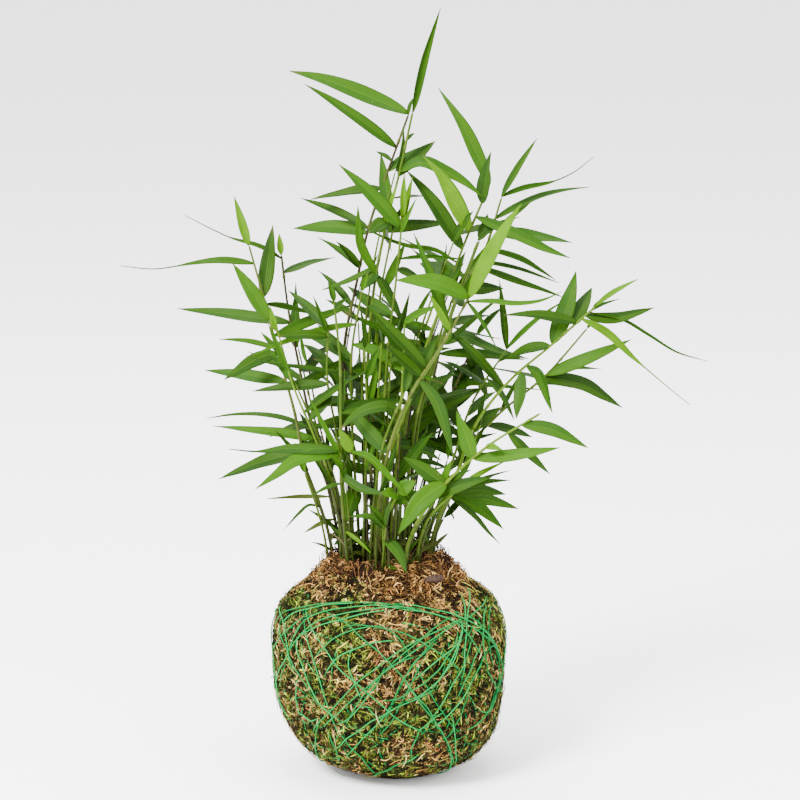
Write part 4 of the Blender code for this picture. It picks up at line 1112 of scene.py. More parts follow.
def moss_bed():
    """The moss blanket's own uneven surface, under the strands; its near-black colours are painted shade
    for the gaps between them.
    """
    steps = 240
    inside = OUTLINE[:, 1] <= 98
    normals = outline_normals(OUTLINE)[inside]
    rows = np.concatenate([UNDER, OUTLINE[inside]])
    normals = np.concatenate([np.tile([0, -1.0], (len(UNDER), 1)), normals])
    grid, outward = swept(rows, steps), swept(normals, steps)
    lifted = np.clip(grid[:, 2] / 5, 0, 1)
    rough = 0.9 * clumps(grid, 4.0, 1.0) + 0.5 * clumps(grid, 1.7, 2.0)
    corners = grid + outward * ((lumps(grid) - MOSS_DEPTH + rough) * lifted)[:, None]
    corners[:, 0] += spot_shift(corners[:, 2])
    growth = Growth()
    tints = np.tile(MOSS_TONES["dark"], (len(corners), 1))
    growth.add(corners, strip_faces(len(rows), steps, True), tints, np.zeros((len(corners), 2)))
    return growth.piece("moss_bed", [moss_bed_paint()])


def moss():
    """The moss wrap: its bed and the living and dried strands that cover it."""
    pieces = [moss_bed()]
    paint = strand_paint("moss_strand", MOSS_TONES["dark"], 0.4)
    for index in range(MOSS_PIECES):
        rng = np.random.default_rng(20 + index)
        growth = Growth()
        moss_leaflets(growth, LEAFLETS, rng)
        moss_leaflets(growth, COLLAR_LEAFLETS, rng, 96, 106, collar=True)
        moss_strands(growth, STRANDS, rng)
        pieces.append(growth.piece(f"moss_strands_{index + 1}", [paint], cells=True))
    return pieces


# ---------------------------------------------------------------- dry sphagnum, soil and bark

SPHAGNUM_TONES = [
    (0.34, 0.165, 0.042), (0.26, 0.105, 0.028), (0.11, 0.045, 0.015), (0.56, 0.35, 0.12),
    (0.03, 0.016, 0.008), (0.33, 0.185, 0.05), (0.45, 0.26, 0.07),
]


def curls(growth, count, rng, low_z, high_z, size, proud, dry_only=False):
    """Dry curled fibres of about this size, standing proud of the moss bed."""
    points, outward = scatter(count, rng, low_z, high_z)
    if dry_only:
        keep = dryness_at(points) > 0.35
        points, outward = points[keep], outward[keep]
        count = len(points)
    along, side = surface_ways(outward, rng, 0.0)
    stations = 9
    share = np.linspace(0, 1, stations)
    length = rng.uniform(0.5, 1.4, count) * size
    coil = rng.uniform(0.4, 1.6, count)
    phase = rng.uniform(0, 6.28, count)
    swing = rng.uniform(0.4, 1.5, count)
    lift = rng.uniform(0.0, 0.22, count)
    angle = phase[:, None] + 2 * math.pi * coil[:, None] * share
    paths = points[:, None] + along[:, None] * (length[:, None] * (share - 0.5))[..., None]
    paths += side[:, None] * (swing[:, None] * np.cos(angle))[..., None]
    hump = swing[:, None] * 0.4 * np.sin(angle) + (lift * length)[:, None] * np.sin(math.pi * share)
    paths += outward[:, None] * (hump - MOSS_DEPTH + proud)[..., None]
    radii = rng.uniform(0.12, 0.28, count)[:, None] * (1 - 0.5 * share ** 3)
    corners, faces = worms(paths, radii, 3)
    tones = np.array(SPHAGNUM_TONES)[rng.integers(0, len(SPHAGNUM_TONES), count)]
    # Painted light and shade: curls in noise patches are darkened nearly to black as if in shade between
    # tufts, and others are brightened as if lit.
    painted_clump_light_and_shade = np.clip(0.42 + 2.3 * clumps(points, 3.4, 9.0), 0.02, 1.9)
    tones = tones * (painted_clump_light_and_shade * rng.uniform(0.7, 1.25, count))[:, None]
    growth.add(corners, faces, np.repeat(tones, stations * 3, axis=0), np.zeros((len(corners), 2)))


def loops(growth, count, rng, sector=(0, 2 * math.pi), heap=0.0):
    """Bigger dry curls that stand up round a sector of the mouth, piled up there by the heap's height."""
    angle = rng.uniform(*sector, count)
    radius = rng.uniform(25, 38, count)
    rise = np.interp(radius, (25, 31, 38), (CORE_TOP + 1.5 + heap, CORE_TOP + 3 + heap, 100.5))
    centre = polar(radius, angle, rise + rng.uniform(-0.5, 1.8, count))
    stations = 14
    share = np.linspace(0, 1, stations)
    size = rng.uniform(1.3, 3.4, count)
    turn = rng.uniform(0, 6.28, (count, 1)) + rng.uniform(2.5, 6.5, (count, 1)) * share
    tilt = unit(rng.normal(0, 1, (count, 3)))
    across = unit(np.cross(tilt, rng.normal(0, 1, (count, 3))))
    other = np.cross(tilt, across)
    spread = (size[:, None] * (0.6 + 0.5 * share))[..., None]
    ring = np.cos(turn)[..., None] * across[:, None] + np.sin(turn)[..., None] * other[:, None]
    paths = centre[:, None] + spread * ring
    paths += tilt[:, None] * (size[:, None] * 0.8 * (share - 0.5))[..., None]
    paths[..., 2] = np.clip(paths[..., 2], CORE_TOP - 3, HEAP_TOP)
    radii = rng.uniform(0.12, 0.3, count)[:, None] * (1 - 0.4 * share ** 3)
    corners, faces = worms(paths, radii, 4)
    tones = np.array(SPHAGNUM_TONES)[rng.integers(0, len(SPHAGNUM_TONES), count)]
    # Painted light and shade: loops in noise patches are darkened toward black as if in the cap's dark
    # gaps, and others are brightened as if lit.
    tones = tones * np.clip(0.35 + 2.0 * clumps(centre, 3.5, 2.0)[:, None], 0.05, 1.5)
    growth.add(corners, faces, np.repeat(tones, stations * 4, axis=0), np.zeros((len(corners), 2)))


def cap_bed():
    """The sphagnum collar's matted body, under its curled fibres."""
    steps = 160
    inside = OUTLINE[:, 1] >= 94
    rows = np.concatenate([OUTLINE[inside], [(29.6, 105.5), (29.3, 104.2)]])
    normals = np.concatenate([outline_normals(OUTLINE)[inside], [(0, 1), (-1, 0)]])
    grid, outward = swept(rows, steps), swept(normals, steps)
    rough = 0.9 * clumps(grid, 3.5, 6.0) + 0.4 * clumps(grid, 1.5, 7.0) - MOSS_DEPTH
    growth = Growth()
    corners = grid + outward * rough[:, None]
    # Painted shade: the mat is a brown fibre tone halved and darkened further in noise patches, for the
    # shade under the curls.
    tints = np.array(SPHAGNUM_TONES[2]) * 0.5 * np.clip(0.6 + clumps(grid, 3.0, 4.0), 0.1, 1.2)[:, None]
    growth.add(corners, strip_faces(len(rows), steps, True), tints, np.zeros((len(corners), 2)))
    return growth.piece("sphagnum_mat", [strand_paint("sphagnum_matting", (0.02, 0.01, 0.005), 0.6)])


# Heaps of curls against the stems: how many, where round the mouth in half turns, and how high.
HEAPS = [(380, 1.44, 1.8, 2.6), (140, 0.95, 1.3, 4.0), (190, 1.5, 1.74, 5.0)]


def sphagnum():
    """The collar of dry sphagnum, and the tufts of it among the moss."""
    paint = strand_paint("dry_sphagnum_fibre", (0.07, 0.03, 0.012), 0.4)
    collar, tufts = Growth(), Growth()
    curls(collar, 2300, np.random.default_rng(51), low_z=92, high_z=106, size=6.0, proud=0.2, dry_only=True)
    curls(collar, 350, np.random.default_rng(52), low_z=97, high_z=106, size=12.0, proud=1.2)
    loops(collar, 330, np.random.default_rng(55))
    for seed, (count, start, end, heap) in enumerate(HEAPS, 56):
        loops(collar, count, np.random.default_rng(seed), (start * math.pi, end * math.pi), heap)
    curls(tufts, 8000, np.random.default_rng(53), low_z=2, high_z=95, size=3.6, proud=0.4, dry_only=True)
    curls(tufts, 160, np.random.default_rng(54), low_z=6, high_z=92, size=6.0, proud=1.2)
    mat = cap_bed()
    return [
        mat,
        collar.piece("sphagnum_collar", [paint], cells=True),
        tufts.piece("sphagnum_tufts", [paint], cells=True),
    ]


CRUMB_TONE = (0.028, 0.014, 0.007)
ROOT_TONES = [(0.10, 0.045, 0.016), (0.012, 0.006, 0.005), (0.02, 0.009, 0.009), (0.25, 0.13, 0.045)]


def soil_crumbs():
    """Crumbs and short roots between the stems, over the soil's top."""
    rng = np.random.default_rng(77)
    growth = Growth()
    count = 900
    angle, radius = rng.random(count) * 2 * math.pi, 30 * np.sqrt(rng.random(count))
    middle = polar(radius, angle, CORE_TOP + rng.uniform(0.2, 2.0, count))
    way = unit(rng.normal(0, 1, (count, 3)))
    share = np.linspace(-1, 1, 5)
    size = rng.uniform(0.5, 1.7, count)
    paths = middle[:, None] + way[:, None] * (size[:, None] * share)[..., None]
    radii = size[:, None] * np.sqrt(np.clip(1.02 - share ** 2, 0.02, 1)) * rng.uniform(0.5, 0.9, (count, 1))
    corners, faces = worms(paths, radii, 6)
    tints = np.repeat(np.array([CRUMB_TONE]) * rng.uniform(0.3, 1.8, (count, 1)), 30, axis=0)
    growth.add(corners, faces, tints, np.zeros((len(corners), 2)))
    roots = 900
    angle, radius = rng.random(roots) * 2 * math.pi, 31 * np.sqrt(rng.random(roots))
    start = polar(radius, angle, np.full(roots, CORE_TOP + 1.2))
    way = unit(rng.normal(0, 1, (roots, 3)) * (1, 1, 0.3))
    share = np.linspace(0, 1, 8)
    length = rng.uniform(4, 12, roots)
    paths = start[:, None] + way[:, None] * (length[:, None] * (share - 0.5))[..., None]
    paths[..., 2] += np.sin(math.pi * share) * rng.uniform(0.5, 10, (roots, 1))
    paths[..., 0] += 0.8 * np.sin(share * 7 + rng.random((roots, 1)) * 6)
    radii = np.full((roots, 8), 1.0) * rng.uniform(0.12, 0.3, (roots, 1))
    corners, faces = worms(paths, radii, 4)
    tones = np.array(ROOT_TONES)[rng.integers(0, len(ROOT_TONES), roots)]
    growth.add(corners, faces, np.repeat(tones, 32, axis=0), np.zeros((len(corners), 2)))
    return growth.piece("soil_crumbs", [strand_paint("soil_crumb", (0.004, 0.002, 0.001), 0.5)], cells=True)


def bark_chip():
    """The bark chip, its flat block broken up into a rough flake."""
    low, high = (np.array(corner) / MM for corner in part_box("bark_chip"))
    middle, size = (low + high) / 2, high - low
    rng = np.random.default_rng(9)
    share = np.linspace(-1, 1, 14)
    lean = np.array([size[0] * 0.46, size[1] * 0.3, 1.2])
    path = middle + share[:, None] * lean * (1, 0.5, 0.4)
    radii = 1.9 * np.clip(1 - share ** 4, 0.06, 1) ** 0.5
    corners, faces = worms(path[None], radii[None], 12)
    corners += rng.normal(0, 0.3, corners.shape)
    growth = Growth()
    growth.add(corners, faces, np.tile((0.12, 0.06, 0.035), (len(corners), 1)), np.zeros((len(corners), 2)))
    return growth.piece("bark_flake", [bark_paint()])


# ---------------------------------------------------------------- thread


SHOWN_MARGIN = 0.09  # how far a turn shows beyond each of its places, in radians
HIDDEN_DEPTH = 1.9
MOUTH_RADIUS = 40.5
MOUTH_HEIGHT = 98.0
STEPS_ROUND = 150  # points along each turn


def outline_radius(z):
    return np.interp(z, OUTLINE[:, 1], OUTLINE[:, 0])


def front_point(across, height):
    """The place on the front of the ball that a plan point is drawn over."""
    depth = -30.0
    for _ in range(40):
        spread = 1 + depth * VIEW_SPREAD
        x = VIEW_MIDDLE + (across - VIEW_MIDDLE) * spread
        z = VIEW_AIM + (height - VIEW_AIM) * spread + PLAN_GROUND - VIEW_SLOPE * depth
        z = min(max(z, 0.2), 105)
        inside = float(outline_radius(z)) ** 2 - (x - float(spot_shift(z))) ** 2
        depth = 0.6 * depth - 0.4 * math.sqrt(max(inside, 1.0))
    return np.array([x, depth, z])


def winding_turn(first, second, third):
    """One closed turn of thread over three places on the front, and where along it the thread shows."""
    start, way, end = front_point(*first), front_point(*second), front_point(*third)
    normal = np.cross(way - start, end - start)
    normal /= np.linalg.norm(normal)
    middle = np.array([0, 0, BALL_MIDDLE])
    middle = middle + normal * np.dot(way - middle, normal)
    toward = way - middle
    toward /= np.linalg.norm(toward)
    over = np.cross(normal, toward)
    angle = np.linspace(0, 2 * math.pi, STEPS_ROUND, endpoint=False)
    ways = np.cos(angle)[:, None] * toward + np.sin(angle)[:, None] * over
    near, far = np.zeros(STEPS_ROUND), np.full(STEPS_ROUND, 90.0)
    for _ in range(28):
        reach = (near + far) / 2
        point = middle + ways * reach[:, None]
        spread = np.hypot(point[:, 0] - spot_shift(point[:, 2]), point[:, 1])
        beyond = (point[:, 2] < 0) | (point[:, 2] > 105) | (spread > outline_radius(point[:, 2]))
        far = np.where(beyond, reach, far)
        near = np.where(beyond, near, reach)
    def turn_to(place):
        return math.atan2(np.dot(place - middle, over), np.dot(place - middle, toward))

    shows = np.zeros(STEPS_ROUND)
    for place in (start, way, end):
        apart = np.abs((angle - turn_to(place) + math.pi) % (2 * math.pi) - math.pi)
        shows = np.maximum(shows, apart < SHOWN_MARGIN)
    between = np.abs(angle - math.pi) > math.pi - max(abs(turn_to(start)), abs(turn_to(end)))
    points = middle + ways * near[:, None]
    return points, (shows > 0) | between


def clear_the_stems(points):
    """A turn with the part that would cross the stems laid round the mouth, and how deep it is tucked."""
    radius = np.hypot(points[:, 0], points[:, 1])
    over = (points[:, 2] > 90) & (radius < MOUTH_RADIUS)
    scale = np.where(over, MOUTH_RADIUS / np.maximum(radius, 1), 1.0)
    points[:, :2] *= scale[:, None]
    points[over, 2] = MOUTH_HEIGHT
    return points, np.clip((points[:, 2] - 84) / 8, 0, 1) * 2.4


def smoothed(points, rounds):
    for _ in range(rounds):
        wrapped = np.concatenate([points[-1:], points, points[:1]])
        points = 0.25 * wrapped[:-2] + 0.5 * wrapped[1:-1] + 0.25 * wrapped[2:]
    return points


def thread_winding():
    """The whole winding, turn after turn, here and there sunk among the moss."""
    rng = np.random.default_rng(31)
    paths, tints = [], []
    for turn in THREAD_TURNS:
        points, shown = winding_turn(*turn)
        hidden = np.where((points[:, 1] < 8) & ~shown, HIDDEN_DEPTH, 0.0)
        points, tuck = clear_the_stems(points)
        tuck = smoothed(np.where(shown, 0.0, np.maximum(tuck, hidden)), 4)
        points = smoothed(points, 2)
        outward = points - np.array([0, 0, BALL_MIDDLE])
        outward[:, 2] *= 0.7
        outward = unit(outward)
        angle = np.linspace(0, 2 * math.pi, STEPS_ROUND, endpoint=False)
        height = 0.6 - tuck
        for wave in (2, 5, 9, 17):
            height = height + rng.uniform(0.05, 0.34) * np.sin(wave * angle + rng.uniform(0, 6.28))
        wander = unit(np.cross(outward, np.gradient(points, axis=0)))
        drift = np.zeros(STEPS_ROUND)
        for wave in (6, 11, 19):
            drift = drift + rng.uniform(0.05, 0.35) * np.sin(wave * angle + rng.uniform(0, 6.28))
        points = points + outward * (height + lumps(points))[:, None] + wander * drift[:, None]
        points[:, 2] = np.maximum(points[:, 2], THREAD_RADIUS + 0.05)
        points = smoothed(points, 2)
        paths.append(np.concatenate([points, points[:2]]))
        tints.append(np.array(THREAD_GREEN) * rng.uniform(0.55, 1.35))
    paths = np.array(paths)
    radii = np.full(paths.shape[:2], THREAD_RADIUS)
    corners, faces = worms(paths, radii, 6)
    growth = Growth()
    stations = paths.shape[1]
    places = np.array([(i * 0.9, k / 6) for i in range(stations) for k in range(6)])
    growth.add(
        corners, faces, np.repeat(np.array(tints), stations * 6, axis=0), np.tile(places, (len(paths), 1))
    )
    return growth.piece("thread_winding", [thread_paint()], cells=True)


# ---------------------------------------------------------------- culms and leaves

# A leaf's letter in the plan gives the tones of its upper side and of its underside.
# The letters y, b, m and d are one green leaf at falling brightness: partly each leaf's own tone, partly
# painted light and painted shade for how it is lit in the plant; the darkest, d, is mostly painted shade
# for leaves deep inside or behind.
LEAF_TONES = {
    "y": ((0.062, 0.15, 0.0005), (0.042, 0.11, 0.001)),
    "b": ((0.021, 0.072, 0.001), (0.026, 0.07, 0.004)),
    "m": ((0.0082, 0.036, 0.0008), (0.014, 0.044, 0.003)),
    "d": ((0.0034, 0.017, 0.0008), (0.007, 0.025, 0.002)),
    "g": ((0.009, 0.03, 0.004), (0.016, 0.041, 0.008)),
    "t": ((0.03, 0.03, 0.006), (0.045, 0.042, 0.013)),
    "x": ((0.02, 0.01, 0.006), (0.05, 0.028, 0.013)),
}
CULM_TONES = {
    "g": (0.026, 0.055, 0.002),
    "y": (0.052, 0.105, 0.002),
    "p": (0.018, 0.012, 0.006),
    "t": (0.045, 0.062, 0.008),
}
SHEATH_TONE = (0.075, 0.105, 0.012)
JOINT_TONE = (0.016, 0.01, 0.004)
# The next tone is painted shade, near black, laid over the culms' feet where the stems crowd together.
FOOT_SHADE_TONE = (0.0055, 0.0058, 0.0016)
TIP_BROWN = (0.07, 0.045, 0.022)
BLADE_STATIONS = 24
BLADE_COLUMNS = 6
CULM_SIDES = 10
CULM_SLIMNESS = 0.8
JOINT_SPACING = 26.0


def smooth_line(points, count):
    """The settled coarse line again as this many even steps of a smooth curve."""
    return even_points(smooth_path(points, 10), count)


def fine_width(share, width, tail):
    """Width along a lance-shaped blade, widest near a third of its length."""
    if share > 1 - tail:
        return 0.45 + 0.5 * (1 - share) / max(tail, 0.01)
    share /= 1 - tail
    body = math.sin(math.pi * min(1.0, share ** 0.66)) ** 0.85
    petiole = 0.9 * (1 - share) ** 12
    end = 0.35 if tail == 0 else 0.95
    return max(width * body, end * share, petiole + 0.35)


def add_blade(growth, midrib, plan, roll, tone, rng):
    """One leaf as a thin closed blade: folded along its midrib, cupped and gently waved."""
    line = smooth_line(midrib, BLADE_STATIONS)
    length = sum((b - a).length for a, b in zip(line, line[1:]))
    face_up = Vector((math.sin(roll), -0.75 * math.cos(roll), 0.65 * math.cos(roll)))
    rolled = plan["width"] <= 5.0
    fold = rng.uniform(0.5, 0.95) if rolled else rng.uniform(0.1, 0.42)
    twist = rng.uniform(-0.55, 0.55)
    wave = rng.uniform(0, 6.28)
    top_tone, under_tone = (np.array(colour) for colour in LEAF_TONES[tone])
    lively = rng.uniform(0.85, 1.15)
    dry_tip = rng.choice([0.0, 0.02, 0.04, 0.09]) if tone != "t" else 0.3
    columns = BLADE_COLUMNS + 1
    corners, tints, places = [], [], []
    for layer in (0, 1):
        for i, point in enumerate(line):
            share = i / BLADE_STATIONS
            along = (line[min(i + 1, BLADE_STATIONS)] - line[max(i - 1, 0)]).normalized()
            across = along.cross(face_up).normalized()
            normal = across.cross(along)
            turn = twist * share
            across, normal = (
                across * math.cos(turn) + normal * math.sin(turn),
                normal * math.cos(turn) - across * math.sin(turn),
            )
            half = fine_width(share, plan["width"] * 1.06, plan["tail"]) / 2
            for k in range(columns):
                reach = 2 * k / BLADE_COLUMNS - 1
                lift = fold * half * abs(reach) ** 1.3
                ripple = 0.05 * half * math.sin(share * 11 + wave + (1.5 if reach > 0 else 0)) * abs(reach)
                rib = 0.16 * max(0, 1 - abs(reach) * 5) * (1 - share)
                thick = 0.13 * (1 - abs(reach) ** 3) + 0.05 + rib
                flat = math.cos(fold * 0.8) * half * reach
                side = thick if layer == 0 else -thick
                corners.append(point + across * flat + normal * (lift + ripple + side))
                tint = (top_tone if layer == 0 else under_tone) * lively
                tint = tint * (0.9 + 0.2 * share) * (1 - 0.12 * abs(reach) ** 4)
                dryness = min(1.0, max(0.0, (share - (1 - dry_tip)) / 0.02)) if dry_tip else 0.0
                tint = tint * (1 - dryness) + np.array(TIP_BROWN) * dryness
                tints.append(tint)
                places.append((share * length / 10, k / BLADE_COLUMNS))
    layer_size = (BLADE_STATIONS + 1) * columns
    sheet = strip_faces(BLADE_STATIONS + 1, columns)
    faces = [sheet, sheet[:, ::-1] + layer_size]
    for k in (0, BLADE_COLUMNS):
        for i in range(BLADE_STATIONS):
            a, b = i * columns + k, (i + 1) * columns + k
            rim = (a, b, b + layer_size, a + layer_size)
            faces.append([rim if k == 0 else rim[::-1]])
    for i in (0, BLADE_STATIONS):
        for k in range(BLADE_COLUMNS):
            a = i * columns + k
            rim = (a, a + 1, a + 1 + layer_size, a + layer_size)
            faces.append([rim[::-1] if i == 0 else rim])
    growth.add([tuple(c) for c in corners], np.concatenate(faces), tints, places, 0)


def add_culm(growth, line, radius, tone, rng):
    """A culm: a tapering cane with a swollen ring and a paler sheath at each joint."""
    smooth = smooth_path(line, 10)
    length = sum((b - a).length for a, b in zip(smooth, smooth[1:]))
    steps = max(12, int(length / 1.6))
    path = np.array([tuple(p) for p in even_points(smooth, steps)])
    away = np.linspace(0, length, steps + 1)
    share = away / length
    wide = radius * (1 - (1 - TOP_TAPER) * share)
    base = np.array(CULM_TONES[tone])
    tints = np.tile(base, (steps + 1, 1)) * (0.8 + 0.3 * share[:, None])
    place = rng.uniform(8, 22)
    while place < length - 4:
        beyond = away - place
        ring = np.exp(-(beyond / 0.8) ** 2)
        sheath = np.where((beyond > 0) & (beyond < 13), 1 - beyond / 13, 0)
        wide = wide + 0.22 * ring + 0.1 * sheath
        pale = np.clip(0.9 * sheath, 0, 1)[:, None]
        tints = tints * (1 - 0.45 * pale) + np.array(SHEATH_TONE) * 0.45 * pale
        dark = np.exp(-((beyond + 1.4) / 0.9) ** 2)[:, None]
        tints = tints * (1 - 0.55 * dark) + np.array(JOINT_TONE) * 0.55 * dark
        place += JOINT_SPACING * rng.uniform(0.7, 1.3)
    # Painted shade: each culm darkens to near black over its lowest 60 mm or so, where the stems crowd
    # together above the ball.
    foot = np.clip(1.2 - away / 52, 0, 1)[:, None]
    tints = tints * (1 - 0.75 * foot) + np.array(FOOT_SHADE_TONE) * 0.75 * foot
    wide[-1] *= 0.4
    corners, faces = worms(path[None], wide[None], CULM_SIDES)
    around = [(away[i] / 10, k / CULM_SIDES) for i in range(steps + 1) for k in range(CULM_SIDES)]
    growth.add(corners, faces, np.repeat(tints, CULM_SIDES, axis=0), around, 1)


SPARE_LEAVES = 6  # tried on each culm
SPARE_FLOOR = 150
PARTS = (0.0, 0.25, 0.5, 0.75, 1.0)


def spare_leaves(growth, line, rng):
    """Small leaves on the far side of a culm, dark with painted shade, which fill out the plant's middle.
    """
    low, high = (np.array(corner) / MM for corner in CAD_BOX)
    top = line[-1]
    for _ in range(SPARE_LEAVES):
        share = rng.uniform(0.3, 0.9)
        below = int(share * (len(line) - 1))
        base = line[below].lerp(line[min(below + 1, len(line) - 1)], rng.random())
        compass = rng.uniform(-0.35, math.pi + 0.35)
        length = rng.uniform(22, 46)
        climb = rng.uniform(-0.5, 1.1)
        bow = rng.uniform(-0.02, 0.09)
        reach = Vector((math.cos(compass), 0.75 * math.sin(compass), climb)).normalized() * length
        tip = base + reach
        inside = all(low[k] + 2 < tip[k] < high[k] - 2 for k in range(3))
        if not inside or tip.z > top.z or base.z < SPARE_FLOOR or not -48 < tip.x < 62:
            continue
        arch = [bow * length * math.sin(math.pi * part) for part in PARTS]
        midrib = [base + reach * part + Vector((0, 0, rise)) for part, rise in zip(PARTS, arch)]
        plan = {"width": rng.uniform(4.5, 7.5), "tail": 0.0}
        add_blade(growth, midrib, plan, rng.uniform(-1.3, 1.3), rng.choice("dddmmg"), rng)


# Young culms that keep close beside a planned one, as (across, back) offsets from it.
BUNDLES = {
    "shoot_right_tall": [(-5.5, 3), (-2.5, -4), (2.5, 4), (4.5, -3), (7, 2), (-8, -1)],
    "shoot_front_tan": [(2.5, 3), (-2.6, 2)],
    "shoot_tallest": [(2.2, 2), (-2.4, 1)],
    "shoot_mid_rolled": [(2.0, 2), (-2.5, 3)],
    "shoot_left_bright": [(2.0, 3)],
}


YOUNG_BESIDE_EACH = 2
SCRAPS_AT_EACH = 6


def beside(line, aside, sway, share):
    """The lower share of a culm's line again, moved aside and swaying further off as it climbs."""
    last = max(3, int(len(line) * share))
    return [point + aside + sway * (i / len(line)) for i, point in enumerate(line[:last])]


def young_leaf(growth, path, rng):
    """The rolled new leaf that a young culm ends in."""
    way = (path[-1] - path[-2]).normalized()
    aside = Vector((rng.uniform(-0.5, 0.5), rng.uniform(-0.3, 0.5), rng.uniform(-0.3, 0.2)))
    reach = (way + aside).normalized() * rng.uniform(15, 30)
    bend = Vector((rng.uniform(-3, 3), 0, rng.uniform(-4, 1)))
    midrib = [path[-1] + reach * part + bend * part * part for part in PARTS]
    plan = {"width": rng.uniform(2.8, 5.4), "tail": 0.0}
    add_blade(growth, midrib, plan, rng.uniform(-1.2, 1.2), rng.choice("ddmmb"), rng)


def thicket(lines):
    """Thin young culms between the planned ones, and dry sheath scraps round their feet."""
    rng = random.Random(12)
    growth = Growth()
    for name, line in lines.items():
        if not -34 < line[0].x < 30:
            continue
        for _ in range(YOUNG_BESIDE_EACH):
            aside = Vector((rng.uniform(-3.2, 3.2), rng.uniform(-3.2, 3.2), 0))
            sway = Vector((rng.uniform(-9, 9), rng.uniform(-6, 9), 0))
            path = beside(line, aside, sway, rng.uniform(0.35, 0.8))
            add_culm(growth, path, rng.uniform(0.5, 0.8), rng.choice("gggypp"), rng)
            young_leaf(growth, path, rng)
        for aside in BUNDLES.get(name, ()):
            sway = Vector((rng.uniform(-3, 3), rng.uniform(-3, 3), 0))
            path = beside(line, Vector((*aside, 0)), sway, rng.uniform(0.82, 0.98))
            add_culm(growth, path, rng.uniform(0.7, 1.0), rng.choice("gggyp"), rng)
            young_leaf(growth, path, rng)
        for _ in range(SCRAPS_AT_EACH):
            foot = line[0] + Vector((rng.uniform(-3, 3), rng.uniform(-3, 3), rng.uniform(8, 26)))
            compass = rng.uniform(0, 2 * math.pi)
            reach = Vector((math.cos(compass), math.sin(compass), rng.uniform(0.2, 2.2))).normalized()
            reach = reach * rng.uniform(7, 19)
            midrib = [foot + reach * part + Vector((0, 0, -1.5 * part * part)) for part in PARTS]
            plan = {"width": rng.uniform(1.4, 3.0), "tail": 0.0}
            add_blade(growth, midrib, plan, rng.uniform(-1.5, 1.5), rng.choice("xxxd"), rng)
    piece = growth.piece("young_culms", [leaf_blade_paint(), culm_paint()])
    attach(piece, "root")


GUARD_TOP = [(38, 100.3), (35, 103.2), (33.8, 106.2)]
GUARD_SIDES = 32


def ball_guard():
    """A closed shape round the ball that leaves keep out of."""
    rows = np.array([(radius + 2.5, z + 1.5) for radius, z in BALL_PROFILE + GUARD_TOP])
    faces = strip_faces(len(rows), GUARD_SIDES, True)
    corners = [Vector(corner) for corner in swept(rows, GUARD_SIDES)]
    return BVHTree.FromPolygons(corners, [tuple(int(v) for v in face) for face in faces])


def grow_shoots():
    """Each shoot as one piece in place of its CAD node."""
    rolls = random.Random(7)
    lines, culm_guards = settle_culms()
    leaf_guards = {name: [] for name in PLAN}
    finishes = [leaf_blade_paint(), culm_paint()]
    ball = ball_guard()
    thicket(lines)
    for name, plan in PLAN.items():
        rng = random.Random(name)
        culm_tone, leaf_tones = plan["tones"].split("-")
        growth = Growth()
        line = lines[name]
        add_culm(growth, line, plan["radius"] * CULM_SLIMNESS, culm_tone, rng)
        reach = line
        if plan["twig"]:
            twig = [nearest_on(line, *plan["twig"][0][:2])]
            twig += [placed(*point) for point in plan["twig"][1:]]
            add_culm(growth, twig, plan["radius"] * CULM_SLIMNESS * 0.7, culm_tone, rng)
            reach = line + twig
        others = [tree for key, tree in culm_guards.items() if key != name]
        for key, trees in leaf_guards.items():
            if key != name:
                others += trees
        for blade, tone in zip(plan["leaves"], leaf_tones):
            roll = rolls.uniform(-0.5, 0.5)
            midrib = settle_leaf(blade, reach, roll, others + [ball])
            if midrib is None:
                continue
            add_blade(growth, midrib, blade, roll, tone, rng)
            leaf_guards[name].append(padded_tree(midrib, blade, roll))
        spare_leaves(growth, line, rng)
        piece = growth.piece(name.replace("shoot_", "growing_"), finishes)
        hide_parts(name)
        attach(piece, "root")


# ---------------------------------------------------------------- setting


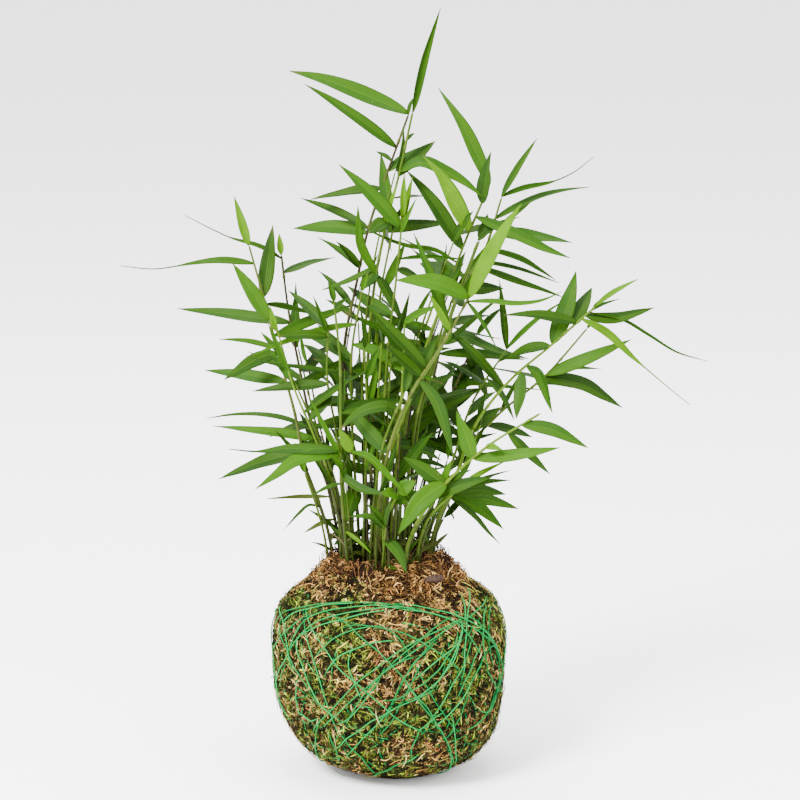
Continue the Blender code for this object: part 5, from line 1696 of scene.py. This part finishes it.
def dress_ball():
    wrap = moss()
    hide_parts("moss_wrap")
    for piece in wrap:
        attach(piece, "root")
    collar = sphagnum()
    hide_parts("sphagnum_cap")
    winding = thread_winding()
    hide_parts("binding_thread")
    chip = bark_chip()
    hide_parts("bark_chip")
    crumbs = soil_crumbs()
    slots = [(winding, "thread"), (chip, "bark"), (crumbs, "soil")]
    slots += [(piece, "dry_sphagnum") for piece in collar]
    for piece, slot in slots:
        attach(piece, "root")
    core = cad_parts["soil_core"]
    core.data.materials.clear()
    core.data.materials.append(soil_paint())


def area_light(name, place, aim, size, power):
    light = bpy.data.lights.new(name, "AREA")
    light.shape = "SQUARE"
    light.size = size
    light.energy = power
    obj = bpy.data.objects.new(name, light)
    obj.location = place
    obj.rotation_euler = (Vector(aim) - Vector(place)).to_track_quat("-Z", "Y").to_euler()
    bpy.context.scene.collection.objects.link(obj)


STUDIO_BRIGHTNESS = 3.0


def set_stage():
    """The table, the even studio all round it and three softboxes."""
    mesh = bpy.data.meshes.new("table_top")
    work = bmesh.new()
    bmesh.ops.create_grid(work, x_segments=1, y_segments=1, size=6.0)
    work.to_mesh(mesh)
    work.free()
    mesh.materials.append(floor_paint())
    table = bpy.data.objects.new("table_top", mesh)
    table.location.z = -0.0003
    bpy.context.scene.collection.objects.link(table)
    world = bpy.data.worlds.new("soft_studio")
    bpy.context.scene.world = world
    world.use_nodes = True
    backdrop = world.node_tree.nodes["Background"]
    backdrop.inputs["Color"].default_value = (1, 1, 1, 1)
    backdrop.inputs["Strength"].default_value = STUDIO_BRIGHTNESS
    middle = (0.0, 0.0, 0.17)
    area_light("softbox_left", (-0.9, -1.1, 1.4), middle, 0.6, 150)
    area_light("softbox_right", (1.0, -0.9, 0.9), middle, 0.8, 18)
    area_light("softbox_top", (0.0, 0.3, 1.7), middle, 1.0, 40)


VIEW_PITCH = math.radians(12)
VIEW_DISTANCE = 1.5


def set_camera():
    aim = Vector((VIEW_MIDDLE, 0, VIEW_AIM + PLAN_GROUND)) * MM
    camera = bpy.data.cameras.new("view")
    camera.sensor_width = 36
    camera.lens = 135
    camera.clip_end = 50
    obj = bpy.data.objects.new("view", camera)
    obj.location = aim + Vector((0, -math.cos(VIEW_PITCH), math.sin(VIEW_PITCH))) * VIEW_DISTANCE
    obj.rotation_euler = (aim - obj.location).to_track_quat("-Z", "Y").to_euler()
    bpy.context.scene.collection.objects.link(obj)
    bpy.context.scene.camera = obj


set_camera()
set_stage()
dress_ball()
grow_shoots()
